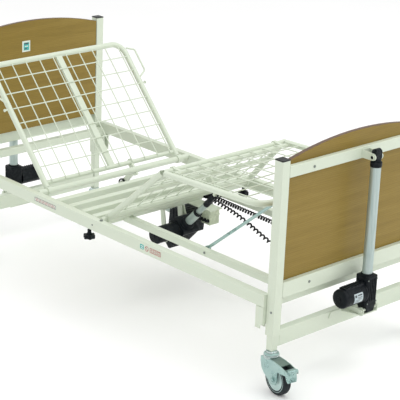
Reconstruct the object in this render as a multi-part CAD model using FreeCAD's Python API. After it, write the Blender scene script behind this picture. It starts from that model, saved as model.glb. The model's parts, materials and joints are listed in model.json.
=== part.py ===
import FreeCAD, Part
import os, math
from FreeCAD import Vector as V

os.makedirs("parts", exist_ok=True)

# ---------------------------------------------------------------- driving dimensions (mm)
# The bed is laid out level, in "bed axes": +Y to the head end, -X the near side, z = 0 on the
# floor under the foot castors.  The head end stands raised by HEAD_EXT on its lift, so the whole
# bed is finally tipped by TILT about the floor line under the foot posts; castors stay upright.
POST = 40.0            # square end posts
POST_X = 420.0         # post centre from the centreline
POST_Y = 1025.0        # post centre from mid length
POST_TOP = 893.0       # top of the steel post, under its cap
SLEEVE_BOT = 221.0     # bottom of the post, which is the sleeve of the leg
CAP_H = 4.0
LEG = 30.0             # inner leg tube
LEG_BOT = 162.0
LEG_TOP = 700.0
HEAD_EXT = 125.0       # the head lift stands this much further out than the foot lift
LIFT_STROKE = 400.0
HEAD_LIFT_X, HEAD_DRIVE_Z = -20.0, -38.0   # the head lift column stands off centre and its drive sits lower
UR_BOT, UR_TOP = 827.0, 870.0      # upper end rail
LR_BOT, LR_TOP = 367.0, 427.0      # lower end rail
ER_T = 20.0                        # end rails, depth
XB_BOT, XB_TOP = 175.0, 240.0      # leg crossbar
PANEL_T = 18.0
ARCH_TOP, ARCH_EDGE, ARCH_HALF = 933.0, 881.0, 397.0
RAIL_OUT, RAIL_W = 455.0, 30.0     # side rails: outer face, width
RAIL_BOT, RAIL_TOP = 329.0, 379.0
RAIL_END = 1003.0
JOINT_Y = 62.0                     # head half meets foot half
CM_BOT, CM_TOP = 318.0, 354.0      # end cross members
INR_X0, INR_X1, INR_BOT, INR_TOP = 252.0, 277.0, 325.0, 355.0
ACT_Y = 1099.0                     # lift column centre
HB_Y, HB_Z = 372.0, 368.0          # backrest hinge
BACK_LEN, BACK_X, BACK_ANG = 620.0, 371.0, 46.9
HT_Y, HT_Z = -45.0, 372.0          # thigh hinge
THIGH_LEN, THIGH_X0, THIGH_X1, THIGH_ANG = 372.0, 402.0, 342.0, 44.35
CALF_LEN, CALF_X, CALF_ANG = 543.0, 340.0, 2.4
TUBE_R, TUBE_T = 12.5, 2.0
WIRE_R, WIRE_N = 2.5, 9.0          # mesh wires, height of the mesh over the tube centres
STRUT_Y, STRUT_Z, STRUT_LEN, STRUT_X = -477.0, 345.0, 460.1, 238.0
STRUT_A1, STRUT_A0 = 39.68, 1.49
KP_Y, KP_Z, KP_ANG, KP_LEN = -18.0, 196.0, 46.21, 368.5     # knee actuator pivot, rise, pin distance
KPIN_S, KPIN_N = 226.0, 95.0                               # its pin on the thigh lever
BP_X, BP_Y, BP_Z, BP_ANG, BP_LEN = 110.0, -30.0, 240.0, 5.68, 479.2
BLEV_L, BLEV_PHI = 110.0, -94.0
WHEEL_R, WHEEL_W, TRAIL = 62.5, 32.0, 42.0
CASTOR_TOP = 160.0
TILT = math.degrees(math.atan(HEAD_EXT / (2 * POST_Y)))
ORIGIN_Y = -24.169     # mid length of the whole bed, end to end, over the castors and lifts

X, Y, Z = V(1, 0, 0), V(0, 1, 0), V(0, 0, 1)


# ---------------------------------------------------------------- helpers
def box(x0, x1, y0, y1, z0, z1):
    return Part.makeBox(x1 - x0, y1 - y0, z1 - z0, V(x0, y0, z0))


def along(b, d, r):
    es = [e for e in b.Edges if abs(abs((e.Vertexes[1].Point - e.Vertexes[0].Point).normalize().dot(d)) - 1) < 1e-6]
    return b.makeFillet(r, es)


def rbox(x0, x1, y0, y1, z0, z1, d, r):
    return along(box(x0, x1, y0, y1, z0, z1), d, r)


def rhs(x0, x1, y0, y1, z0, z1, d, t=2.0, r=3.0):
    o = rbox(x0, x1, y0, y1, z0, z1, d, r)
    e = 5.0
    a = [x0 + t, x1 - t, y0 + t, y1 - t, z0 + t, z1 - t]
    k = 0 if d.x else (2 if d.y else 4)
    a[k] -= t + e
    a[k + 1] += t + e
    return o.cut(box(*a))


def cyl(p, d, r, h):
    return Part.makeCylinder(r, h, V(*p), d)


def cyl2(p, q, r):
    p, q = V(*p), V(*q)
    return Part.makeCylinder(r, (q - p).Length, p, q - p)


def route(pts, bend):
    """Straight runs joined by tangent arcs; bend is one radius or a list, one per corner."""
    pts = [V(*p) for p in pts]
    edges, cur = [], pts[0]
    for i in range(1, len(pts) - 1):
        a, b, c = pts[i - 1], pts[i], pts[i + 1]
        u, w = (b - a).normalize(), (c - b).normalize()
        ang = u.getAngle(w)
        r = bend[i - 1] if isinstance(bend, (list, tuple)) else bend
        t = r * math.tan(ang / 2)
        p, q = b - u * t, b + w * t
        m = (w - u).normalize()
        cen = b + m * (r / math.cos(ang / 2))
        mid = cen - m * r
        edges.append(Part.LineSegment(cur, p).toShape())
        edges.append(Part.Arc(p, mid, q).toShape())
        cur = q
    edges.append(Part.LineSegment(cur, pts[-1]).toShape())
    return Part.Wire(edges)


def sweep(wire, pts, r):
    p, q = V(*pts[0]), V(*pts[1])
    c = Part.Wire([Part.Circle(p, q - p, r).toShape()])
    s = wire.makePipe(Part.Face(c))
    return s if s.ShapeType == "Solid" else Part.makeSolid(s) if s.ShapeType == "Shell" else s.Solids[0]


def bent(pts, r, bend, t=0.0):
    w = route(pts, bend)
    s = sweep(w, pts, r)
    return s.cut(sweep(w, pts, r - t)) if t else s


def fuse(*s):
    o = s[0]
    for k in s[1:]:
        o = o.fuse(k)
    return o.removeSplitter()


def rot(s, p, d, a):
    s = s.copy()
    s.rotate(V(*p), d, a)
    return s


def mirror_x(s):
    return s.mirror(V(0, 0, 0), X)


def turn(s):
    """Foot-end piece to its head-end twin: half a turn about the vertical centreline."""
    return rot(s, (0, 0, 0), Z, 180)


def poly(pts, d, th):
    """Plate from a closed outline of points, pushed th along d."""
    w = Part.makePolygon([V(*p) for p in pts] + [V(*pts[0])])
    return Part.Face(w).extrude(d * th)


def link(x0, x1, p, q, w):
    """Flat link between two (y, z) points, rounded ends, thickness x0..x1."""
    a, b = V(x0, *p), V(x0, *q)
    u = (b - a).normalize()
    n = V(0, -u.z, u.y) * (w / 2)
    body = poly([tuple(a + n), tuple(b + n), tuple(b - n), tuple(a - n)], X, x1 - x0)
    return fuse(body, cyl((x0,) + tuple(p), X, w / 2, x1 - x0), cyl((x0,) + tuple(q), X, w / 2, x1 - x0))


def emit(name, shapes, tilt=True):
    out = []
    for s in shapes:
        s = s.copy()
        if tilt:
            s.rotate(V(0, -POST_Y, 0), X, TILT)
        s.translate(V(0, -ORIGIN_Y, 0))
        out += s.Solids
    bad = [s for s in out if not s.isValid()]
    c = Part.makeCompound(out) if len(out) > 1 else out[0]
    c.exportStep("parts/%s.step" % name)
    print(name, len(out), "solids", round(sum(s.Volume for s in out) / 1000, 1), "cm3", "BAD" if bad else "")


# ---------------------------------------------------------------- end frames (foot end; head end is its twin)
def posts():
    o = []
    for sx in (-1, 1):
        cx = sx * POST_X
        o.append(rhs(cx - POST / 2, cx + POST / 2, -POST_Y - POST / 2, -POST_Y + POST / 2, SLEEVE_BOT, POST_TOP, Z, 3.0, 3.0))
    return o


def caps():
    o = []
    for sx in (-1, 1):
        cx = sx * POST_X
        h = POST / 2 + 0.8
        c = box(cx - h, cx + h, -POST_Y - h, -POST_Y + h, POST_TOP, POST_TOP + CAP_H)
        c = along(c, Z, 3.5)
        top = [e for e in c.Edges if all(abs(v.Z - POST_TOP - CAP_H) < 1e-6 for v in e.Vertexes)]
        c = c.makeFillet(1.8, top)
        plug = box(cx - 16.9, cx + 16.9, -POST_Y - 16.9, -POST_Y + 16.9, POST_TOP - 14, POST_TOP)
        o.append(fuse(c, plug))
    return o


def end_rails():
    xi = POST_X - POST / 2
    y0 = -POST_Y - POST / 2
    return [rhs(-xi, xi, y0, y0 + ER_T, UR_BOT, UR_TOP, X, 2.0, 2.0),
            rhs(-xi, xi, y0, y0 + ER_T, LR_BOT, LR_TOP, X, 2.0, 2.0)]


def panel():
    y0 = -POST_Y - POST / 2 + ER_T
    hw = ARCH_HALF
    w = Part.Wire([
        Part.LineSegment(V(-hw, y0, LR_TOP - 5), V(hw, y0, LR_TOP - 5)).toShape(),
        Part.LineSegment(V(hw, y0, LR_TOP - 5), V(hw, y0, ARCH_EDGE)).toShape(),
        Part.Arc(V(hw, y0, ARCH_EDGE), V(0, y0, ARCH_TOP), V(-hw, y0, ARCH_EDGE)).toShape(),
        Part.LineSegment(V(-hw, y0, ARCH_EDGE), V(-hw, y0, LR_TOP - 5)).toShape()])
    s = Part.Face(w).extrude(V(0, PANEL_T, 0))
    return s.makeFillet(1.5, [e for e in s.Edges if e.Curve.TypeId == "Part::GeomCircle"])


def panel_screws():
    o = []
    y0 = -POST_Y - POST / 2
    for sx in (-1, 1):
        for x, z in ((275 * sx, 846), (262 * sx, 398)):
            o.append(fuse(cyl((x, y0 - 2.2, z), Y, 5.0, 2.2)))
        o.append(cyl((sx * (POST_X + POST / 2 + 1.8), -POST_Y - 6, 316), X * (-sx), 4.5, 1.8))
    return o


def lift_fork_bracket():
    """U bracket on the upper end rail with the pin that the lift rod hangs from."""
    y0 = -POST_Y - POST / 2
    back = box(-22, 22, y0 - 5, y0, 829, 863)
    o = [back]
    for sx in (-1, 1):
        a, b = sorted((sx * 17.0, sx * 22.0))
        o.append(fuse(poly([(a, y0 - 2, 831), (a, y0 - 2, 861), (a, -ACT_Y, 858), (a, -ACT_Y, 832)], X, 5.0), cyl((a, -ACT_Y, 845), X, 13.0, 5.0)))
    pin = cyl((-24, -ACT_Y, 845), X, 5.0, 48.0)
    heads = [cyl((-26.5, -ACT_Y, 845), X, 9.0, 2.5), cyl((24, -ACT_Y, 845), X, 9.0, 2.5)]
    o = [s.cut(cyl((-40, -ACT_Y, 845), X, 5.0, 80.0)) for s in o]
    return fuse(*o), fuse(pin, *heads)


def lift_rod(z0):
    """Thrust rod of the lift, from z0 inside the tube up to its fork head."""
    return cyl((0, -ACT_Y, z0), Z, 10.0, 830.0 - z0)


def lift_fork():
    b = fuse(rbox(-14, 14, -ACT_Y - 14, -ACT_Y + 14, 832, 852, Z, 4), link(-14, 14, (-ACT_Y, 845), (-ACT_Y, 861), 28),
             cyl((0, -ACT_Y, 827), Z, 16.0, 6.0))
    return b.cut(cyl((-40, -ACT_Y, 845), X, 5.05, 80)).cut(cyl((0, -ACT_Y, 820), Z, 10.0, 10.0))


# ---------------------------------------------------------------- leg frames
def leg_tubes():
    o = []
    for sx in (-1, 1):
        cx = sx * POST_X
        leg = rhs(cx - LEG / 2, cx + LEG / 2, -POST_Y - LEG / 2, -POST_Y + LEG / 2, LEG_BOT, LEG_TOP, Z, 3.0, 2.0)
        plug = box(cx - 12, cx + 12, -POST_Y - 12, -POST_Y + 12, LEG_BOT, LEG_BOT + 34)
        hole = rot(cyl((cx, -POST_Y, LEG_BOT - 40), Z, 6.07, 120), (cx, -POST_Y, LEG_BOT), X, -TILT)
        o += [leg, plug.cut(hole)]
    return o


def crossbar():
    xi = POST_X - LEG / 2
    y0, y1 = -POST_Y - LEG / 2, -POST_Y + LEG / 2
    xs = POST_X - POST / 2 - 3
    low = rhs(-xs, xs, y0, y1, XB_BOT, XB_TOP, X, 2.5, 3.0)
    o = [low]
    for sx in (-1, 1):
        a, b = sorted((sx * (xs - 2), sx * xi))
        o.append(box(a, b, y0 + 1, y1 - 1, XB_BOT + 1, SLEEVE_BOT - 2))
    return fuse(*o)


def lift_bracket():
    """Eared saddle on the crossbar that carries the lift housing."""
    y0 = -POST_Y - LEG / 2
    face = poly([(-135, y0 - 4, 214), (-128, y0 - 4, 236), (86, y0 - 4, 236), (92, y0 - 4, 218), (60, y0 - 4, 196), (-100, y0 - 4, 196)], Y, 4)
    shelf = poly([(-70, y0, 226), (-42, -ACT_Y - 24, 226), (42, -ACT_Y - 24, 226), (70, y0, 226)], Z, 4)
    o = [face, shelf]
    for x in (-42, 38):
        e = poly([(x, y0, 228), (x, -ACT_Y - 28, 228), (x, -ACT_Y - 31, 240), (x, -ACT_Y - 29, 252), (x, -ACT_Y - 20, 259), (x, -ACT_Y - 8, 254), (x, y0, 240)], X, 4)
        o.append(e.cut(cyl((x - 1, -ACT_Y - 20, 246), X, 5.0, 6)))
    return fuse(*o)


def lift_bracket_pin():
    return fuse(cyl((-46, -ACT_Y - 20, 246), X, 5.0, 92), cyl((-50, -ACT_Y - 20, 246), X, 8.0, 4), cyl((46, -ACT_Y - 20, 246), X, 8.0, 4))


def lift_housing():
    """Gear housing at the foot of the lift column, with a tapered nose and a rear boss."""
    w = 31
    b = rbox(-w, w, -ACT_Y - w, -ACT_Y + w, 266, 380, Z, 10)
    b = b.makeFillet(5.0, [e for e in b.Edges if all(abs(v.Z - 380) < 1e-3 for v in e.Vertexes)])
    foot = poly([(-29, -ACT_Y - 29, 266), (29, -ACT_Y - 29, 266), (17, -ACT_Y - 29, 236), (-17, -ACT_Y - 29, 236)], Y, 44)
    h = fuse(b, foot)
    h = h.cut(cyl((-90, -ACT_Y - 20, 246), X, 5.05, 180))
    return h.cut(cyl((0, -ACT_Y, 350), Z, 20.0, 40))


def lift_motor():
    """Motor can lying across the bed, off the side of the gear housing."""
    c = cyl((-31, -ACT_Y - 2, 315), -X, 37.0, 120)
    c = c.makeFillet(9.0, [e for e in c.Edges if e.Curve.TypeId == "Part::GeomCircle" and abs(e.Curve.Center.x + 151) < 1e-3])
    fin = rbox(-136, -31, -ACT_Y - 19, -ACT_Y + 15, 340, 357, X, 4)
    return fuse(c, fin)


def lift_tube():
    """Outer tube of the lift column, hollow for the thrust rod, with its black end ring."""
    return cyl((0, -ACT_Y, 350), Z, 20.0, 460).cut(cyl((0, -ACT_Y, 362), Z, 15.0, 480))


def lift_ring():
    r = cyl((0, -ACT_Y, 810), Z, 22.0, 15.5)
    r = r.makeFillet(2.5, [e for e in r.Edges if e.Curve.TypeId == "Part::GeomCircle" and abs(e.Curve.Center.z - 825.5) < 1e-3])
    return r.cut(cyl((0, -ACT_Y, 800), Z, 10.06, 40))


# ---------------------------------------------------------------- lying frame
def side_rails(y0, y1):
    o = []
    for sx in (-1, 1):
        a, b = sorted((sx * (RAIL_OUT - RAIL_W), sx * RAIL_OUT))
        o.append(rhs(a, b, y0, y1, RAIL_BOT, RAIL_TOP, Y, 2.5, 3.5))
    return o


def joiners():
    """Spigots of the foot half that slide into the head half, one in each side rail."""
    o = []
    for sx in (-1, 1):
        a, b = sorted((sx * (RAIL_OUT - RAIL_W + 2.6), sx * (RAIL_OUT - 2.6)))
        o.append(box(a, b, JOINT_Y - 120, JOINT_Y + 120, RAIL_BOT + 2.6, RAIL_TOP - 2.6))
    return o


def end_brackets():
    """Channel that hangs below each rail end beside its post, with the hook notch at the bottom."""
    o = []
    for sx in (-1, 1):
        a, b = sorted((sx * (RAIL_OUT - RAIL_W), sx * RAIL_OUT))
        s = box(a, b, -RAIL_END, -RAIL_END + 36, 243, RAIL_BOT)
        s = s.cut(box(a + 4, b - 4, -RAIL_END + 4, -RAIL_END + 40, 239, RAIL_BOT - 4))
        s = s.cut(cyl((a - 5, -RAIL_END - 4, 246), X, 17.0, RAIL_W + 10))
        pin = cyl((a - 1.5, -RAIL_END + 28, 250), X, 4.0, RAIL_W + 3)
        s = s.cut(cyl((a - 5, -RAIL_END + 28, 250), X, 4.0, RAIL_W + 10))
        s = fuse(s, box(a, b, -RAIL_END - 1.7, -RAIL_END, 262, RAIL_TOP))
        o += [s, pin]
    return o


def cross_member():
    xi = RAIL_OUT - RAIL_W
    return rhs(-xi, xi, -RAIL_END, -975, CM_BOT, CM_TOP, X, 2.0, 3.0)


def seat_tubes():
    xi = RAIL_OUT - RAIL_W
    return [rhs(-xi, xi, y - 15, y + 15, 351, RAIL_TOP, X, 2.0, 3.0) for y in (240, 158, 77)]


def mid_beam():
    xi = RAIL_OUT - RAIL_W
    return rhs(-xi, xi, -10, 20, RAIL_BOT, RAIL_TOP, X, 2.5, 3.0)


def inner_rails():
    o = []
    for sx in (-1, 1):
        a, b = sorted((sx * INR_X0, sx * INR_X1))
        o.append(rhs(a, b, -975, -10, INR_BOT, INR_TOP, Y, 2.0, 3.0))
    return o


def hinge_shafts():
    xi = RAIL_OUT - RAIL_W
    b = cyl((-xi, HB_Y, HB_Z), X, 14.0, 2 * xi)
    t = cyl((-xi, HT_Y, HT_Z), X, 12.5, 2 * xi)
    return b, t


def frame_bolts():
    o = []
    for sx in (-1, 1):
        # pivot bolts through the rails, dome heads outside; joint clamp screws; strut anchor bolts
        o.append(cyl((sx * (RAIL_OUT + 1.5), JOINT_Y - 86, 354), X * (-sx), 3.5, 1.5))
        o.append(cyl((sx * (INR_X1 + 2.5), -500, 341), X * (-sx), 5.0, 2.5))
        o.append(cyl((sx * (RAIL_OUT - 16), HT_Y - 16, RAIL_TOP), Z, 6.5, 4.0))
    return o


def actuator_hanger():
    """Plate under the mid beam with two pairs of cheeks for the actuators' rear pins."""
    top = box(-58, 168, -9, 22, 325, RAIL_BOT)
    o = [top, box(86, 156, -148, -9, 325, RAIL_BOT)]
    for x in (-51, 46):
        o.append(poly([(x, -32, 190), (x, -26, 182), (x, -10, 182), (x, -4, 190), (x, 16, 326), (x, -9, 326)], X, 5))
    o.append(cyl((-54, KP_Y, KP_Z), X, 6.0, 108))
    o += [cyl((-57, KP_Y, KP_Z), X, 10.0, 6), cyl((51, KP_Y, KP_Z), X, 10.0, 6)]
    for x in (59, 156):
        o.append(poly([(x, BP_Y - 14, 240), (x, BP_Y - 8, 226), (x, BP_Y + 8, 226), (x, BP_Y + 14, 240), (x, 18, 326), (x, -9, 326)], X, 5))
    o.append(cyl((57, BP_Y, BP_Z), X, 6.0, 108))
    o += [cyl((55, BP_Y, BP_Z), X, 9.0, 4), cyl((161, BP_Y, BP_Z), X, 9.0, 4)]
    return fuse(*o)


def control_box():
    b = box(92, 150, -142, -84, 260, 325)
    b = along(b, Z, 8)
    lid = [e for e in b.Edges if all(abs(v.Z - 260) < 1e-6 for v in e.Vertexes)]
    return b.makeFillet(5, lid)


# ---------------------------------------------------------------- platform sections, modelled flat
def back_frame():
    x, z, y1 = BACK_X, HB_Z, HB_Y + BACK_LEN
    ys = HB_Y + 17
    u = [(-x, ys, z), (-x, y1, z), (x, y1, z), (x, ys, z)]
    outer, inner = sweep(route(u, 58), u, TUBE_R), sweep(route(u, 58), u, TUBE_R - TUBE_T)
    low = cyl((-x, HB_Y + 40, z - 3.5), X, 10.0, 2 * x)
    mid = rbox(-16, 16, HB_Y + 40, y1 - 4, z - 8.5, z + 6.4, Y, 2.5)
    s = fuse(outer, low, mid)
    for sx in (-1, 1):
        s = s.fuse(cyl((sx * x - 12, HB_Y, z), X, 19.0, 24))
    s = s.cut(inner)
    for sx in (-1, 1):
        s = s.cut(cyl((sx * x - 13, HB_Y, z), X, 14.06, 26))
    return s


def back_mesh():
    z = HB_Z + WIRE_N
    y0, y1 = HB_Y + 34, HB_Y + BACK_LEN - 10.6
    o = []
    for k in range(5):
        for sx in (-1, 1):
            x = sx * (37.5 + 75 * k)
            o.append(cyl((x, y0, z), Y, WIRE_R, (y1 if k < 4 else y1 - 12) - y0))
    for i in range(1, 8):
        y = HB_Y + 40 + i * 72.0
        o.append(cyl((-BACK_X + 10.6, y, z), X, WIRE_R, 2 * BACK_X - 21.2))
    s = o[0].multiFuse(o[1:])
    return s.Solids[0]


def back_loops():
    o = []
    for sx in (-1, 1):
        x = sx * (BACK_X + 9)
        xo = sx * (BACK_X + 41)
        a, b = HB_Y + 432, HB_Y + 588
        pts = [(x, a, HB_Z + 7.5), (xo, a + 22, HB_Z + 22), (xo, b - 22, HB_Z + 22), (x, b, HB_Z + 7.5)]
        s = bent(pts, 4.0, 14)
        side = cyl((sx * BACK_X, a - 40, HB_Z), Y, TUBE_R, b - a + 66)
        o.append(max(s.cut(side).Solids, key=lambda q: q.Volume))
        peg = fuse(cyl((sx * (BACK_X + TUBE_R - 1), HB_Y + 404, HB_Z), X * sx, 4.0, 17), cyl((sx * (BACK_X + TUBE_R + 14), HB_Y + 404, HB_Z), X * sx, 6.5, 3.5))
        o.append(peg.cut(side))
    return o


def back_lever():
    """Lever plate on the backrest's lower cross tube, round the shaft, down to the actuator pin."""
    p = (HB_Y + BLEV_L * math.cos(math.radians(BLEV_PHI)), HB_Z + BLEV_L * math.sin(math.radians(BLEV_PHI)))
    s = fuse(link(BP_X - 5, BP_X + 5, (HB_Y + 40, HB_Z - 3.5), (HB_Y, HB_Z - 2), 34), link(BP_X - 5, BP_X + 5, (HB_Y, HB_Z), p, 24),
             cyl((BP_X - 5, HB_Y, HB_Z), X, 26, 10))
    s = s.cut(cyl((BP_X - 6, HB_Y, HB_Z), X, 14.6, 12)).cut(cyl((BP_X - 6, HB_Y + 40, HB_Z - 3.5), X, 10.0, 12))
    s = s.cut(box(BP_X - 6, BP_X + 6, HB_Y - 60, HB_Y + 80, HB_Z + 6.3, HB_Z + 60))
    pin = fuse(cyl((BP_X - 15,) + p, X, 5.0, 30), cyl((BP_X - 18,) + p, X, 8.0, 3), cyl((BP_X + 15,) + p, X, 8.0, 3))
    return fuse(s, pin)


def thigh_x(y):
    return THIGH_X0 + (THIGH_X1 - THIGH_X0) * (HT_Y - y) / THIGH_LEN


def thigh_frame():
    z, yk = HT_Z, HT_Y - THIGH_LEN
    s, inn = [], []
    for sx in (-1, 1):
        a = (sx * thigh_x(HT_Y - 30), HT_Y - 30, z)
        b = (sx * THIGH_X1, yk, z)
        s.append(cyl2(a, b, TUBE_R))
        s.append(Part.makeSphere(TUBE_R, V(*b)))
        # lug that carries the hinge eye of this side
        s.append(link(sx * 396 - 6, sx * 396 + 6, (HT_Y - 36, z), (HT_Y, z), 22))
        s.append(cyl((sx * 396 - 6, HT_Y, z), X, 18.0, 12))
    s.append(cyl((-THIGH_X1, yk, z), X, 11.0, 2 * THIGH_X1))
    for d in (36, KPIN_S):
        x = thigh_x(HT_Y - d)
        s.append(cyl((-x, HT_Y - d, z - 3.5), X, 10.0, 2 * x))
    s = s[0].multiFuse(s[1:]).removeSplitter()
    for sx in (-1, 1):
        s = s.cut(cyl((sx * 396 - 7, HT_Y, z), X, 12.56, 14))
    return s


def thigh_mesh():
    z = HT_Z + WIRE_N
    y0, y1 = HT_Y - THIGH_LEN + 9.6, HT_Y - 28
    o = []
    for k in range(5):
        for sx in (-1, 1):
            o.append(cyl((sx * (35.5 + 71 * k), y0, z), Y, WIRE_R, y1 - y0))
    for d in (70, 131, 192, 253, 314):
        x = thigh_x(HT_Y - d) - 10.9
        o.append(cyl((-x, HT_Y - d, z), X, WIRE_R, 2 * x))
    return o[0].multiFuse(o[1:]).Solids[0]


def thigh_lever():
    p = (HT_Y - KPIN_S, HT_Z - KPIN_N)
    s = link(-5, 5, (HT_Y - KPIN_S, HT_Z - 16), p, 30)
    s = s.cut(cyl((-6, HT_Y - KPIN_S, HT_Z - 3.5), X, 10.0, 12)).cut(box(-6, 6, HT_Y - KPIN_S - 30, HT_Y - KPIN_S + 30, HT_Z - 3.5, HT_Z + 40))
    pin = fuse(cyl((-15,) + p, X, 5.0, 30), cyl((-18,) + p, X, 8.0, 3), cyl((15,) + p, X, 8.0, 3))
    return fuse(s, pin)


def calf_frame():
    yk = HT_Y - THIGH_LEN
    z, x, ye = HT_Z, CALF_X, yk - CALF_LEN
    u = [(x, yk - 16, z), (x, ye, z), (-x, ye, z), (-x, yk - 16, z)]
    s = [sweep(route(u, 62), u, TUBE_R), cyl((-x, yk - 36, z - 3.5), X, 10.0, 2 * x)]
    for sx in (-1, 1):
        s.append(link(sx * 284 - 7, sx * 284 + 7, (yk - 34, z - 2), (yk, z), 22))
        s.append(cyl((sx * 284 - 7, yk, z), X, 16.0, 14))
        s.append(poly([(sx * 227 - 3, ye + 4, z - 4), (sx * 227 - 3, ye + 36, z - 6), (sx * 227 - 3, ye + 36, 350), (sx * 227 - 3, ye + 28, 345), (sx * 227 - 3, ye + 12, 345), (sx * 227 - 3, ye + 4, 352)], X, 6))
    s = s[0].multiFuse(s[1:]).removeSplitter()
    s = s.cut(sweep(route(u, 62), u, TUBE_R - TUBE_T))
    for sx in (-1, 1):
        s = s.cut(cyl((sx * 284 - 8, yk, z), X, 11.06, 16))
        s = s.cut(cyl((sx * 227 - 4, yk - 520, z - 15), X, 7.5, 8))
    return s


def calf_mesh():
    yk = HT_Y - THIGH_LEN
    z, ye = HT_Z + WIRE_N, yk - CALF_LEN
    o = []
    for k in range(5):
        for sx in (-1, 1):
            a = ye + 10.7 + (26 if k == 4 else 0)
            o.append(cyl((sx * (35.5 + 71 * k), a, z), Y, WIRE_R, yk - 30 - a))
    for i in range(1, 7):
        y = yk - 36 - i * 69
        o.append(cyl((-CALF_X + 10.7, y, z), X, WIRE_R, 2 * CALF_X - 21.4))
    return o[0].multiFuse(o[1:]).Solids[0]


def strut(sx):
    """Bar from the inner rail up to the calf section; drawn level, foot pivot first."""
    x = sx * STRUT_X
    bar = rbox(x - 5, x + 5, STRUT_Y - STRUT_LEN + 8, STRUT_Y - 8, STRUT_Z - 6, STRUT_Z + 6, Y, 3.0)
    a = cyl((x - 5, STRUT_Y, STRUT_Z), X, 10.0, 10)
    b = cyl((x - 5, STRUT_Y - STRUT_LEN, STRUT_Z), X, 9.0, 10)
    p = sorted((sx * 220.0, sx * 234.0))
    pin = cyl((p[0], STRUT_Y - STRUT_LEN, STRUT_Z), X, 4.0, p[1] - p[0])
    h = sorted((sx * 217.5, sx * 220.0))
    head = cyl((h[0], STRUT_Y - STRUT_LEN, STRUT_Z), X, 6.5, 2.5)
    s = fuse(bar, a, b, pin, head)
    return s.cut(cyl((x - 6, STRUT_Y, STRUT_Z), X, 5.06, 12))


def strut_pins():
    o = []
    for sx in (-1, 1):
        a, b = sorted((sx * 230.0, sx * INR_X0))
        h = sorted((sx * 227.0, sx * 230.0))
        o.append(fuse(cyl((a, STRUT_Y, STRUT_Z), X, 5.0, b - a), cyl((h[0], STRUT_Y, STRUT_Z), X, 8.0, 3)))
    return o


# ---------------------------------------------------------------- platform actuators, drawn level from their rear pin
def drive(px, py, pz, s, side):
    """Gear case and motor. s: +1 points to the head, -1 to the foot. side: x sense of the motor."""
    def bx(u0, u1, n0, n1, w, d, r):
        a, b = sorted((py + s * u0, py + s * u1))
        return rbox(px - w, px + w, a, b, pz + n0, pz + n1, d, r)
    case = bx(-16, 118, -44, 44, 42, X, 10)
    nose = cyl((px, py + s * 118, pz), Y * s, 27.0, 14)
    c = fuse(case, nose)
    c = c.cut(cyl((px - 60, py, pz), X, 6.06, 120)).cut(cyl((px, py + s * 112, pz), Y * s, 18.0, 40)).cut(cyl((px, py + s * 58, pz), Y * s, 13.5, 60))
    m = cyl((px + side * 42, py + s * 75, pz), X * side, 35.0, 118)
    m = m.makeFillet(8.0, [e for e in m.Edges if e.Curve.TypeId == "Part::GeomCircle" and abs(e.Curve.Center.x - px - side * 160) < 1e-3])
    return c, m


def act_tube(px, py, pz, s, u1):
    t = cyl((px, py + s * 112, pz), Y * s, 18.0, u1 - 112)
    return t.cut(cyl((px, py + s * 100, pz), Y * s, 14.0, u1))


def act_rod(px, py, pz, s, u0, L, open_r):
    """Rod with a fork whose eye is larger than the pin, the open pivot of the linkage."""
    rod = cyl((px, py + s * u0, pz), Y * s, 12.0, L - 44 - u0)
    a, b = sorted((py + s * (L - 48), py + s * (L - 40)))
    base = box(px - 12.5, px + 12.5, a, b, pz - 13, pz + 13)
    o = [rod, base]
    for k in (-1, 1):
        x0, x1 = sorted((px + k * 6.2, px + k * 12.5))
        o.append(link(x0, x1, (py + s * L, pz), (py + s * (L - 1), pz), 2 * (open_r + 5)))
        a, b = sorted((py + s * (L - 42), py + s * L))
        o.append(box(x0, x1, a, b, pz - 13, pz + 13))
    f = fuse(*o)
    return f.cut(cyl((px - 20, py + s * L, pz), X, open_r, 40))


# ---------------------------------------------------------------- clamp knobs under the rail joint
def knob(sx):
    x, y = sx * (RAIL_OUT - RAIL_W / 2), 12.0
    stem = cyl((x, y, RAIL_BOT - 10), Z, 5.0, 10.0)
    neck = fuse(cyl((x, y, RAIL_BOT - 22), Z, 8.0, 14.0), Part.makeCone(15.0, 8.0, 10.0, V(x, y, RAIL_BOT - 31), Z))
    body = cyl((x, y, RAIL_BOT - 46), Z, 24.2, 15.5)
    for k in range(6):
        t = math.radians(60 * k + 30)
        body = body.cut(cyl((x + 29 * math.cos(t), y + 29 * math.sin(t), RAIL_BOT - 48), Z, 10.0, 20))
    return fuse(body, neck, stem)


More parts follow.
